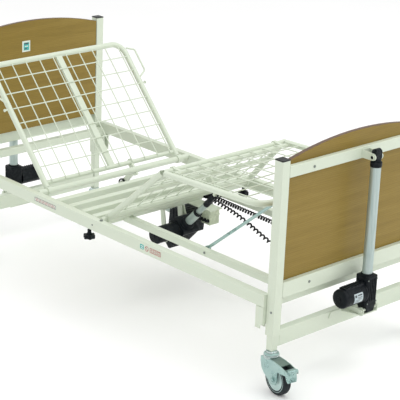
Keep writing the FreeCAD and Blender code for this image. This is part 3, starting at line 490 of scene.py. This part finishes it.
def smooth_poly(pts, rounds, n=6):
    """Closed outline with rounded corners; rounds is one radius or one per corner."""
    out = []
    N = len(pts)
    for i in range(N):
        a, b, c = Vector(pts[i - 1]), Vector(pts[i]), Vector(pts[(i + 1) % N])
        r = rounds[i] if isinstance(rounds, (list, tuple)) else rounds
        u, w_ = (a - b), (c - b)
        lu, lw = u.length, w_.length
        u, w_ = u / lu, w_ / lw
        ang = u.angle(w_)
        t = min(r / math.tan(ang / 2) if ang < 3.13 else 0.0, 0.49 * lu, 0.49 * lw)
        if t < 1e-3 or r <= 0:
            out.append((b.x, b.y)); continue
        rr = t * math.tan(ang / 2)
        p, q = b + u * t, b + w_ * t
        bis = (u + w_).normalized()
        cen = b + bis * (rr / math.sin(ang / 2))
        a0 = math.atan2(p.y - cen.y, p.x - cen.x)
        a1 = math.atan2(q.y - cen.y, q.x - cen.x)
        dlt = (a1 - a0 + math.pi) % (2 * math.pi) - math.pi
        for k in range(n + 1):
            t2 = a0 + dlt * k / n
            out.append((cen.x + rr * math.cos(t2), cen.y + rr * math.sin(t2)))
    return out


# ------------------------------------------------------------------ the two curly leads
UPPER = [(210, -38, 336), (210, -120, 332.5), (210, -270, 328), (210, -430, 325.5), (210, -590, 325), (210, -750, 327), (210, -875, 331.5), (210, -950, 335.5)]
LOWER = [(184, -38, 336), (184, -120, 328), (184, -250, 302), (183, -390, 254), (182, -540, 213), (182, -690, 208), (183, -810, 238), (184, -895, 287), (184, -950, 331)]


def nurbs(name, pts, bevel=0.0, res=12, bres=3):
    cu = bpy.data.curves.new(name, 'CURVE')
    cu.dimensions = '3D'
    sp = cu.splines.new('NURBS')
    sp.points.add(len(pts) - 1)
    for q, p in zip(sp.points, pts):
        q.co = (*p, 1.0)
    sp.order_u = 3
    sp.use_endpoint_u = True
    sp.resolution_u = res
    cu.bevel_depth = bevel
    cu.bevel_resolution = bres
    cu.use_fill_caps = True
    return cu


def route_line(name, pts):
    """Points read from the route's own spline, as Blender draws it."""
    cu = nurbs(name + "_route", pts, 0.0, 24)
    o = bpy.data.objects.new(name + "_route", cu)
    me = bpy.data.meshes.new_from_object(o)
    line = [v.co.copy() for v in me.vertices]
    bpy.data.objects.remove(o)
    bpy.data.curves.remove(cu)
    bpy.data.meshes.remove(me)
    return line


def curly(name, pts_mm, wire, pitch, node, stretch):
    pts = [W(*p) for p in pts_mm]
    line = route_line(name, pts)
    acc = [0.0]
    for a, b in zip(line[:-1], line[1:]):
        acc.append(acc[-1] + (b - a).length)
    total = acc[-1]
    rad = 0.0105 - wire / 2 - 0.0003

    def at(s):
        s = min(max(s, 0.0), total)
        lo, hi = 0, len(acc) - 1
        while hi - lo > 1:
            mid = (lo + hi) // 2
            if acc[mid] <= s: lo = mid
            else: hi = mid
        f = (s - acc[lo]) / max(acc[hi] - acc[lo], 1e-9)
        return line[lo].lerp(line[hi], f), (line[hi] - line[lo]).normalized()

    out = []
    lead = 0.012
    p0, t0 = at(0.0)
    out.append(p0)
    out.append(at(lead * 0.5)[0])
    side = Vector((1, 0, 0))
    s, ang = lead, 0.0
    per = 14
    while s < total - lead:
        p, t = at(s)
        u = (side - t * side.dot(t)).normalized()
        v = t.cross(u)
        ease = min(1.0, (s - lead) / 0.010, (total - lead - s) / 0.010)
        wob = 1.0 + 0.018 * math.sin(s * 61.0) + 0.012 * math.sin(s * 173.0 + 1.0)
        r = rad * max(0.02, ease) * min(1.0, wob)
        out.append(p + u * (r * math.cos(ang)) - v * (r * math.sin(ang)))
        loc = pitch * (1.0 + stretch * math.sin(math.pi * s / total) ** 2 + 0.05 * math.sin(s * 37.0))
        s += loc / per
        ang += 2 * math.pi / per
    out.append(at(total - lead * 0.5)[0])
    out.append(at(total)[0])
    cu = nurbs(name, out, wire / 2, 2, 3)
    o = bpy.data.objects.new(name, cu)
    bpy.context.collection.objects.link(o)
    cu.materials.append(RUBBER)
    ln = 0.0
    me = bpy.data.meshes.new_from_object(o)
    bpy.data.meshes.remove(me)
    flat = nurbs(name + "_line", out, 0.0, 2)
    fo = bpy.data.objects.new(name + "_line", flat)
    me = bpy.data.meshes.new_from_object(fo)
    vv = [v.co.copy() for v in me.vertices]
    ln = sum((b - a).length for a, b in zip(vv[:-1], vv[1:]))
    bpy.data.objects.remove(fo); bpy.data.curves.remove(flat); bpy.data.meshes.remove(me)
    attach(o, "frame")
    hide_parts(node)
    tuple(pts[0])
    return ln


def relief(name, face_y, p, q):
    """Tapered strain relief with ribs, from the member's face to the lead's end."""
    P, Q = Vector(p), Vector(q)
    d = (P - Q).normalized()
    ln = abs((face_y - P.y) / d.y)
    bm = bmesh.new()
    prof = [(0, 3.2), (0.6, 3.9)]
    for k in range(4):
        s = 2.0 + k * 4.4
        r = 5.2 + k * 1.1
        prof += [(s, r), (s + 2.4, r + 0.25), (s + 2.5, r - 0.9), (s + 3.8, r - 0.8)]
    prof += [(ln - 8.5, 9.8), (ln - 7.8, 10.3), (ln, 10.3)]
    lathe(bm, BED, P, d, prof, 28)
    return from_bm(name, bm, RUBBER, "frame", sharp=40)


r1 = relief("relief_upper_head", -10.0, UPPER[0], UPPER[1])
r2 = relief("relief_lower_head", -10.0, LOWER[0], LOWER[1])
r3 = relief("relief_upper_foot", -975.0, UPPER[-1], UPPER[-2])
r4 = relief("relief_lower_foot", -975.0, LOWER[-1], LOWER[-2])
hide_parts("lead_plugs")
LENGTHS = {}
LENGTHS["upper"] = curly("curly_upper", UPPER, 0.0068, 0.0150, "curly_lead_upper", 0.06)
LENGTHS["lower"] = curly("curly_lower", LOWER, 0.0076, 0.0200, "curly_lead_lower", 0.12)
print("cord lengths", LENGTHS)

# ------------------------------------------------------------------ fittings
def new():
    return bmesh.new()


def head_screw(bm, m, c, d, r, h, mi=0):
    """Domed screw head with a washer rim."""
    lathe(bm, m, c, d, [(-0.6, r * 1.05), (0.25 * h, r * 1.05), (0.3 * h, r), (0.7 * h, r * 0.86), (0.93 * h, r * 0.55), (h, r * 0.18)], 20, mi)


def shell_patch(bm, m, cx0, cx1, cy, cz, r0, r1, a0, a1, nx, na, mi=0):
    """Curved plate round an X axis: angle from -Y, up is positive."""
    def pt(x, r, a):
        t = math.radians(a)
        return bm.verts.new(T(m, (x, cy - r * math.cos(t), cz + r * math.sin(t))))
    g = [[[pt(cx0 + (cx1 - cx0) * i / nx, r, a0 + (a1 - a0) * j / na) for j in range(na + 1)] for i in range(nx + 1)] for r in (r0, r1)]
    for i in range(nx):
        for j in range(na):
            for k in (0, 1):
                f = bm.faces.new((g[k][i][j], g[k][i + 1][j], g[k][i + 1][j + 1], g[k][i][j + 1])); f.material_index = mi
    for i in range(nx):
        for j in (0, na):
            f = bm.faces.new((g[0][i][j], g[0][i + 1][j], g[1][i + 1][j], g[1][i][j])); f.material_index = mi
    for j in range(na):
        for i in (0, nx):
            f = bm.faces.new((g[0][i][j], g[0][i][j + 1], g[1][i][j + 1], g[1][i][j])); f.material_index = mi


FOOT_D = BED
HEAD_D = BED @ Matrix.Translation((0, 0, -0.125)) @ Matrix.Rotation(math.pi, 4, 'Z') @ Matrix.Translation((0.020, 0, -0.038))
HEAD_T = BED @ Matrix.Rotation(math.pi, 4, 'Z') @ Matrix.Translation((0.020, 0, 0))


def lift_details(tag, m, body, proud):
    """Ribs, end cap, seam bands, collar, screws and the rating plate of one lift drive."""
    cy = -1101.0
    bm = new()
    for x in (-19, -9.5, 0, 9.5, 19):
        block(bm, m, x - 2.0, x + 2.0, -1132.2, -1128, 280, 368, 1.2, 2)
    for sx in (-1, 1):
        for y in (-1117, -1108, -1099, -1090, -1081):
            if sx < 0:
                z0 = 354
            else:
                z0 = 280
            block(bm, m, min(sx * 29, sx * 33.0), max(sx * 29, sx * 33.0), y - 2.0, y + 2.0, z0, 368, 1.2, 2)
    lathe(bm, m, (0, -1099, 379), (0, 0, 1), [(0, 25.5), (2.2, 25.5), (3.4, 24.2), (6.0, 23.6), (7.0, 22.4), (7.0, 20.25), (0, 20.25)], 44, close=True)
    lathe(bm, m, (-31, cy, 315), (-1, 0, 0), [(s_, r_ if proud else min(r_, 36.9)) for s_, r_ in [(0, 39.5), (6, 39.5), (7.5, 37.9), (30, 37.6), (30.4, 37.0), (33, 37.0), (33.4, 37.6), (101, 37.6),
                                              (101.5, 37.0), (103.5, 37.0), (104, 38.0), (110, 38.0), (116, 36.6), (119.5, 33.0), (121.4, 27.0), (121.8, 15.0), (121.4, 9.0), (123.2, 8.4), (123.6, 4.0)]], 56)
    for k in range(7):
        x = -52 - k * 12.0
        block(bm, m, x - 1.5, x + 1.5, -1117, -1087, 356, 359.0, 1.0, 2)
    for sx in (-1, 1):
        block(bm, m, sx * 24 - 4.5, sx * 24 + 4.5, -1131.4, -1128, 268, 277, 1.2, 2)
    from_bm("lift_trim_" + tag, bm, BLACK, body, sharp=30)
    bm = new()
    for sx in (-1, 1):
        head_screw(bm, m, (sx * 24, -1131.2, 272.5), (0, -1, 0), 3.0, 1.8)
        head_screw(bm, m, (sx * 24, -1130.0, 366), (0, -1, 0), 3.0, 1.8)
    from_bm("lift_screws_" + tag, bm, BOLT, body)
    bm = new()
    shell_patch(bm, m, -107, -60, cy, 315, 37.3 if proud else 36.8, 38.1 if proud else 37.04, -30, 30, 1, 12, 0)
    for (x0, x1, a0, a1) in ((-88, -65, 14, 22), (-104, -94, 8, 22), (-88, -65, 4, 7), (-88, -70, -3, 0), (-104, -65, -10, -8), (-104, -76, -17, -15), (-104, -84, -24, -22)):
        shell_patch(bm, m, x0, x1, cy, 315, 38.0 if proud else 36.9, 38.35 if proud else 37.12, a0, a1, 1, 3, 1)
    from_bm("lift_plate_" + tag, bm, [SILVER, INK], body, sharp=50)


lift_details("foot", FOOT_D, "foot_lift", True)
lift_details("head", HEAD_D, "head_lift", False)


def fork_details(tag, m, tube_m, body):
    """Boot and domed pin heads of the black fork head, with the black ring at the top of a lift column's tube."""
    bm = new()
    lathe(bm, m, (0, -1099, 826.6), (0, 0, 1), [(0, 17.5), (1.5, 18.4), (4.0, 17.2), (6.5, 15.8), (9, 15.2), (9, 10.3), (0, 10.3)], 36, close=True)
    from_bm("fork_boot_" + tag, bm, BLACK, "frame")
    bm = new()
    for sx in (-1, 1):
        head_screw(bm, m, (sx * 26.4, -1099, 845), (sx, 0, 0), 6.0, 2.2)
    from_bm("fork_pin_heads_" + tag, bm, BLACK, "frame")
    bm = new()
    lathe(bm, tube_m, (0, -1099, 806), (0, 0, 1), [(0, 20.1), (0, 21.2), (3.4, 21.8), (4, 22.6), (17.5, 22.6), (19.3, 21.2), (19.9, 19.0), (19.9, 14.0), (4, 14.0), (4, 20.1)], 44, close=True)
    from_bm("tube_ring_" + tag, bm, BLACK, body)


fork_details("foot", BED, FOOT_D, "foot_lift")
fork_details("head", HEAD_T, HEAD_D, "head_lift")


def actuator_details(tag, m, px, py, pz, s, side, body, u_end):
    """Ribs, end cap and collar on one platform actuator; s is the sense of the thrust, side that of the motor."""
    bm = new()
    for k in range(6):
        y = py + s * (4 + 18 * k)
        block(bm, m, px - 38, px + 38, y - 2.2, y + 2.2, pz + 43, pz + 46.0, 1.1, 2)
        block(bm, m, px - 38, px + 38, y - 2.2, y + 2.2, pz - 46.0, pz - 43, 1.1, 2)
        x0, x1 = sorted((px - side * 41, px - side * 44.5))
        block(bm, m, x0, x1, y - 2.2, y + 2.2, pz - 34, pz + 34, 1.1, 2)
    lathe(bm, m, (px, py + s * 117, pz), (0, s, 0), [(0, 30.5), (4, 30.5), (6, 28.6), (12, 27.8), (16, 24.5), (18.5, 21.0), (18.5, 18.3), (0, 18.3)], 44, close=True)
    yc = py + s * 75
    lathe(bm, m, (px + side * 42, yc, pz), (side, 0, 0), [(0, 38.0), (6, 38.0), (7.5, 35.9), (28, 35.6), (28.4, 35.0), (31, 35.0), (31.4, 35.6), (97, 35.6), (97.4, 35.0),
                                                       (100, 35.0), (100.5, 36.2), (108, 36.2), (114.5, 33.6), (117.6, 28.0), (118.6, 18.0), (118.8, 9.0), (120.6, 8.4), (121.0, 4.0)], 52)
    from_bm("trim_" + tag, bm, BLACK, body, sharp=30)
    bm = new()
    for dy in (-8, 108):
        for dz in (-32, 32):
            head_screw(bm, m, (px - side * 42, py + s * dy, pz + dz), (-side, 0, 0), 3.4, 2.0)
    from_bm("screws_" + tag, bm, BOLT, body)
    bm = new()
    lathe(bm, m, (px, py + s * (u_end - 12), pz), (0, s, 0), [(0, 18.05), (0, 18.7), (9.0, 18.7), (11.5, 17.6), (12.6, 16.0), (12.6, 14.2), (12.1, 14.2), (12.1, 18.05)], 40, close=True)
    from_bm("tube_end_" + tag, bm, BLACK, body)


actuator_details("knee_actuator", KNEE_ACT, 0, -18, 196, -1, -1, "knee_actuator", 216)
actuator_details("backrest_actuator", BACK_ACT, 110, -30, 240, 1, 1, "backrest_actuator", 330)

def rod_pick(py, pz, s_, ang, L):
    """Slot 1 (black) on the fork head, slot 0 on the round rod: distance from the drive pivot tells them apart."""
    return lambda c, n: 1 if math.hypot(c.y - py, c.z - pz) > L - 52 else 0


split_faces("knee_actuator_rod", (TUBEGR, BLACK), rod_pick(-18.0, 196.0, -1, 46.21, 368.5))
bm = new()
lathe(bm, KNEE_ACT, (0, -18 - 277, 196), (0, -1, 0), [(0, 12.06), (0, 13.7), (44.5, 13.7), (44.5, 12.06)], 40, close=True)
lathe(bm, KNEE_ACT, (0, -18 - 277, 196), (0, -1, 0), [(26, 13.65), (26, 13.85), (29, 13.85), (29, 13.65)], 40, close=True)
from_bm("sleeve_knee_rod", bm, BLACK, "knee_rod")

# fork head of the backrest rod: boot ring where the rod meets its fork
for _tag, _m, _px, _py, _pz, _s, _L, _r in (("backrest_rod", BACK_ACT, 110, -30, 240, 1, 479.2, 15.0),):
    bm = new()
    lathe(bm, _m, (_px, _py + _s * (_L - 64), _pz), (0, _s, 0), [(0, 12.05), (0, 13.6), (3, 14.6), (12, 15.4), (15.5, 15.8), (17.0, 14.6), (17.0, 12.05)], 36, close=True)
    from_bm("boot_" + _tag, bm, BLACK, _tag)


# ------------------------------------------------------------------ castors
def castor(tag, x, y, ang):
    m = Matrix.Translation((x / 1000.0, y / 1000.0 + OY, 0)) @ Matrix.Rotation(math.radians(ang), 4, 'Z')
    cx, cy, cz = 0.0, -42.0, 62.5
    bm = new()
    tyre = [(-16, 44.2), (-16, 50.2), (-15.1, 51.0), (-15.1, 52.6), (-16, 53.4), (-15.7, 57.2), (-14.2, 60.0), (-11.2, 61.9), (-6.4, 62.45), (-5.9, 61.2), (-4.9, 61.2), (-4.4, 62.45),
            (4.4, 62.45), (4.9, 61.2), (5.9, 61.2), (6.4, 62.45), (11.2, 61.9), (14.2, 60.0), (15.7, 57.2), (16, 53.4), (15.1, 52.6), (15.1, 51.0), (16, 50.2), (16, 44.2)]
    lathe(bm, m, (cx, cy, cz), (1, 0, 0), tyre, 64, 0, close=True)
    hub = [(-19.5, 5.3), (-19.5, 11.2), (-18.9, 11.9), (-15.8, 12.4), (-15.2, 15.0), (-13.2, 18.0), (-12.8, 35.0), (-14.4, 39.2), (-15.7, 41.0), (-15.9, 43.4), (-15.2, 44.2),
           (15.2, 44.2), (15.9, 43.4), (15.7, 41.0), (14.4, 39.2), (12.8, 35.0), (13.2, 18.0), (15.2, 15.0), (15.8, 12.4), (18.9, 11.9), (19.5, 11.2), (19.5, 5.3)]
    lathe(bm, m, (cx, cy, cz), (1, 0, 0), hub, 56, 1, close=True)
    for k in range(6):
        t = math.radians(60 * k + 15)
        for sx in (-1, 1):
            lathe(bm, m, (sx * 12.6, cy + 27 * math.cos(t), cz + 27 * math.sin(t)), (sx, 0, 0), [(-0.4, 4.6), (0.6, 4.6), (1.1, 3.9), (1.2, 1.0)], 16, 1)
    for sx in (-1, 1):
        lathe(bm, m, (sx * 15.6, cy, cz), (sx, 0, 0), [(0, 49.4), (0.45, 49.4), (0.45, 50.9), (0, 50.9)], 56, 1, close=True)
    # slot 1 of the wheel (hub, rivets and rim rings) takes the lighter zinc: painted light
    w_ = from_bm("castor_wheel_" + tag, bm, [TYRE, HUB_ZINC_PAINTED_LIGHT], "wheel_" + tag, sharp=28)
    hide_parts("castor_%s_wheel" % tag)
    bm = new()
    for sx in (-1, 1):
        head_screw(bm, m, (sx * 23.4, -49.5, 122.5), (sx, 0, 0), 3.4, 1.8)
        head_screw(bm, m, (sx * 23.4, -110, 112), (sx, 0, 0), 4.2, 1.8)
        lathe(bm, m, (sx * 28.3, cy, cz), (sx, 0, 0), [(-1.5, 8.3), (0.4, 8.3), (1.1, 7.4), (1.9, 5.6), (2.3, 3.0), (2.3, 0.8)], 24)
        lathe(bm, m, (sx * 23.4, cy, cz), (sx, 0, 0), [(0, 11.5), (1.1, 11.5), (1.5, 10.8), (1.5, 8.1)], 28)
    from_bm("castor_rivets_" + tag, bm, ZINC, "castor_" + tag)
    bm = new()
    lathe(bm, m, (0, 0, 131.5), (0, 0, 1), [(0, 25.0), (0, 28.4), (3.0, 28.9), (3.6, 29.6), (7.4, 30.2), (8.0, 28.8), (9.2, 28.8), (9.8, 29.9), (13.5, 29.5), (17.5, 26.6), (20.4, 22.6),
                                            (20.8, 21.2), (27.0, 20.9), (28.2, 19.4), (28.4, 12.0), (22.0, 12.0)], 48, close=True)
    from_bm("castor_race_" + tag, bm, CHROME, "castor_" + tag)
    bm = new()
    for z in (80, 86.5, 93):
        block(bm, m, -14, 14, -135.0, -131.0, z - 1.5, z + 1.5, 1.0, 2)
    lathe(bm, m, (-19.3, -130, 119), (-1, 0, 0), [(0, 7.0), (0.5, 7.0), (1.4, 5.8), (1.6, 1.0)], 24)
    lathe(bm, m, (19.3, -130, 119), (1, 0, 0), [(0, 7.0), (0.5, 7.0), (1.4, 5.8), (1.6, 1.0)], 24)
    from_bm("castor_treads_" + tag, bm, ZINC, "pedal_" + tag)
    fo = put("castor_%s_fork" % tag, ZINC, ZINC_PAINTED_SHADE)
    # faces inside the fork, round the wheel, take slot 1, the darker zinc: painted shade
    mi_, mr_ = m.inverted(), m.inverted().to_3x3()
    for f in fo.data.polygons:
        c_, n_ = mi_ @ f.center * 1000.0, mr_ @ f.normal
        if abs(c_.x) < 20.2 and abs(n_.x) < 0.3 and c_.z < 136 and c_.y < -18:
            f.material_index = 1
        elif abs(n_.x) > 0.9 and abs(c_.x) < 21.5 and c_.y < -1:
            f.material_index = 1
    for n in ("castor_%s_fork" % tag, "castor_%s_pedal" % tag):
        o = bpy.data.objects[n]
        b = o.modifiers.new("edges", 'BEVEL')
        b.width, b.segments, b.limit_method, b.angle_limit = 0.0011, 2, 'ANGLE', math.radians(35)


castor("foot_near", -420, -1034.86, -9)
castor("foot_far", 420, -1034.86, -5)
castor("head_near", -420, 1018.948, 4)
castor("head_far", 420, 1018.948, -9)


# ------------------------------------------------------------------ labels
def plate(bm, m, x, y0, y1, z0, z1, t=0.3, mi=0, sx=-1):
    """Thin film on a face whose outward normal is sx * X."""
    a, b = sorted((x, x + sx * t))
    block(bm, m, a, b, y0, y1, z0, z1, 0.0, 1, mi)


bm = new()
X0 = -455.0
plate(bm, BED, X0, 216, 360, 348, 365, 0.25, 0)
for y0, y1, z0, z1 in ((216, 360, 363.4, 365), (216, 360, 348, 349.6), (216, 217.8, 348, 365), (358.2, 360, 348, 365)):
    plate(bm, BED, X0 - 0.2, y0, y1, z0, z1, 0.2, 2)
for k in range(13):
    y = 222 + k * 10.2
    prism(bm, BED, [(y, 350.2), (y + 3.6, 350.2), (y + 9.4, 362.8), (y + 5.8, 362.8)], 'x', X0 - 0.42, X0 - 0.2, 0.0, 1, 1)
from_bm("rail_label_hatched", bm, [PALE, RED, INK], "frame", smooth=False)
bm = new()
prism(bm, BED, smooth_poly([(-342, 346), (-320, 346), (-320, 366), (-342, 366)], 4.0), 'x', X0 - 0.3, X0, 0.0, 1, 0)
prism(bm, BED, smooth_poly([(-338, 349), (-326, 349), (-326, 353), (-338, 353)], 1.5), 'x', X0 - 0.45, X0 - 0.3, 0.0, 1, 3)
prism(bm, BED, smooth_poly([(-338, 357), (-324, 357), (-324, 361), (-338, 361)], 1.5), 'x', X0 - 0.45, X0 - 0.3, 0.0, 1, 3)
lathe(bm, BED, (X0, -360, 355.5), (-1, 0, 0), [(0, 8.4), (0, 10.6), (0.35, 10.6), (0.35, 8.4)], 32, 1, close=True)
prism(bm, BED, [(-366.5, 349.5), (-364.5, 348.5), (-353.5, 361.5), (-355.5, 362.5)], 'x', X0 - 0.4, X0, 0.0, 1, 1)
for y0, y1, z0, z1 in ((-442, -378, 364.4, 366), (-442, -378, 346, 347.6), (-442, -440.2, 346, 366), (-379.8, -378, 346, 366)):
    plate(bm, BED, X0, y0, y1, z0, z1, 0.35, 1)
for r_ in range(4):
    z = 349.4 + r_ * 4.0
    for c_ in range(5):
        y = -437.5 + c_ * 11.6
        plate(bm, BED, X0, y, y + 8.0 + 2.0 * ((r_ + c_) % 2), z, z + 1.7, 0.3, 1)
from_bm("rail_label_signs", bm, [TEAL, RED, INK, PALE], "frame", smooth=False)
bm = new()
block(bm, BED, -38, 7, 1006.6, 1007.2, 791, 842, 0.0, 1, 0)
block(bm, BED, -30, 0, 1006.3, 1006.6, 798, 834, 0.0, 1, 1)
block(bm, BED, -28, -3, 1006.1, 1006.3, 826, 832, 0.0, 1, 2)
block(bm, BED, -26, -12, 1006.1, 1006.3, 802, 808, 0.0, 1, 2)
block(bm, BED, -24, -6, 1006.1, 1006.3, 814, 819, 0.0, 1, 0)
from_bm("panel_label", bm, [PALE, TEAL, INK], "frame", smooth=False)

# control box: lid seam, lid screws and the plug sockets on its foot side
bm = new()
block(bm, BED, 90.8, 151.2, -143.2, -82.8, 300, 303.5, 1.0, 2)
from_bm("control_box_seam", bm, BOXGR, "frame")
bm = new()
for y in (-132, -113, -94):
    lathe(bm, BED, (91.5, y, 280), (-1, 0, 0), [(0, 8.0), (3, 8.0), (3.6, 7.0), (9, 6.6), (9.6, 5.4), (14, 4.6), (16, 3.0), (16, 0.6)], 24)
from_bm("control_box_plugs", bm, BLACK, "frame")
bm = new()
for x in (98, 144):
    for y in (-136, -90):
        head_screw(bm, BED, (x, y, 260.2), (0, 0, -1), 2.6, 1.4)
from_bm("control_box_screws", bm, ZINC, "frame")

# ------------------------------------------------------------------ floor and light
def floor():
    me = bpy.data.meshes.new("floor")
    s = 14.0
    me.from_pydata([(-s, -s, -0.0005), (s, -s, -0.0005), (s, s, -0.0005), (-s, s, -0.0005)], [], [(0, 1, 2, 3)])
    o = bpy.data.objects.new("floor", me)
    bpy.context.collection.objects.link(o)
    M = Mat("floor_pale")
    M.color(M.mix(M.rng(M.noise(0.6, 3.0), 0, 1, 0.3, 0.7), (0.955, 0.957, 0.953), (0.975, 0.976, 0.973)))
    M.rough(M.rng(M.noise(3.0, 3.0), 0.75, 0.9))
    me.materials.append(M.m)


floor()
w = bpy.data.worlds.new("studio")
bpy.context.scene.world = w
w.use_nodes = True
w.node_tree.nodes["Background"].inputs[0].default_value = (1, 1, 1, 1)
w.node_tree.nodes["Background"].inputs[1].default_value = 1.0
_nt = w.node_tree
_tc = _nt.nodes.new("ShaderNodeTexCoord")
_sep = _nt.nodes.new("ShaderNodeSeparateXYZ")
_rng = _nt.nodes.new("ShaderNodeMapRange")
_rng.inputs[1].default_value, _rng.inputs[2].default_value = -1.0, 1.0
_cr = _nt.nodes.new("ShaderNodeValToRGB")
_cr.color_ramp.elements[0].position, _cr.color_ramp.elements[0].color = 0.40, (0.62, 0.63, 0.62, 1)
_cr.color_ramp.elements[1].position, _cr.color_ramp.elements[1].color = 1.0, (1, 1, 1, 1)
for _p, _v in ((0.50, 0.30), (0.56, 0.16), (0.62, 0.55), (0.70, 1.0)):
    _e = _cr.color_ramp.elements.new(_p)
    _e.color = (_v, _v * 1.02, _v, 1)
_lp = _nt.nodes.new("ShaderNodeLightPath")
_mx = _nt.nodes.new("ShaderNodeMix")
_mx.data_type = 'RGBA'
_nt.links.new(_tc.outputs["Generated"], _sep.inputs[0])
_nt.links.new(_sep.outputs[2], _rng.inputs[0])
_nt.links.new(_rng.outputs[0], _cr.inputs[0])
_nt.links.new(_lp.outputs["Is Glossy Ray"], _mx.inputs[0])
_mx.inputs[6].default_value = (1, 1, 1, 1)
_nt.links.new(_cr.outputs[0], _mx.inputs[7])
_nt.links.new(_mx.outputs[2], _nt.nodes["Background"].inputs[0])


def area(name, loc, target, size, power, col=(1, 1, 1)):
    d = bpy.data.lights.new(name, 'AREA')
    d.energy, d.size, d.color = power, size, col
    o = bpy.data.objects.new(name, d)
    bpy.context.collection.objects.link(o)
    o.location = loc
    o.rotation_mode = 'QUATERNION'
    o.rotation_quaternion = (Vector(target) - Vector(loc)).to_track_quat('-Z', 'Y')
    return o


area("key", (0.6, -1.6, 4.6), (0, 0, 0.4), 2.8, 60)
area("fill", (3.4, -4.2, 2.4), (0, 0, 0.5), 2.6, 26)
area("back", (-0.5, 4.2, 3.6), (0, 0, 0.5), 3.0, 30)
scn = bpy.context.scene
scn.view_settings.view_transform = 'Standard'
scn.view_settings.look = 'None'
scn.view_settings.exposure = 0.0
scn.view_settings.gamma = 1.0

VIS = {"CAD": [list(CAD_LO), list(CAD_HI)]}
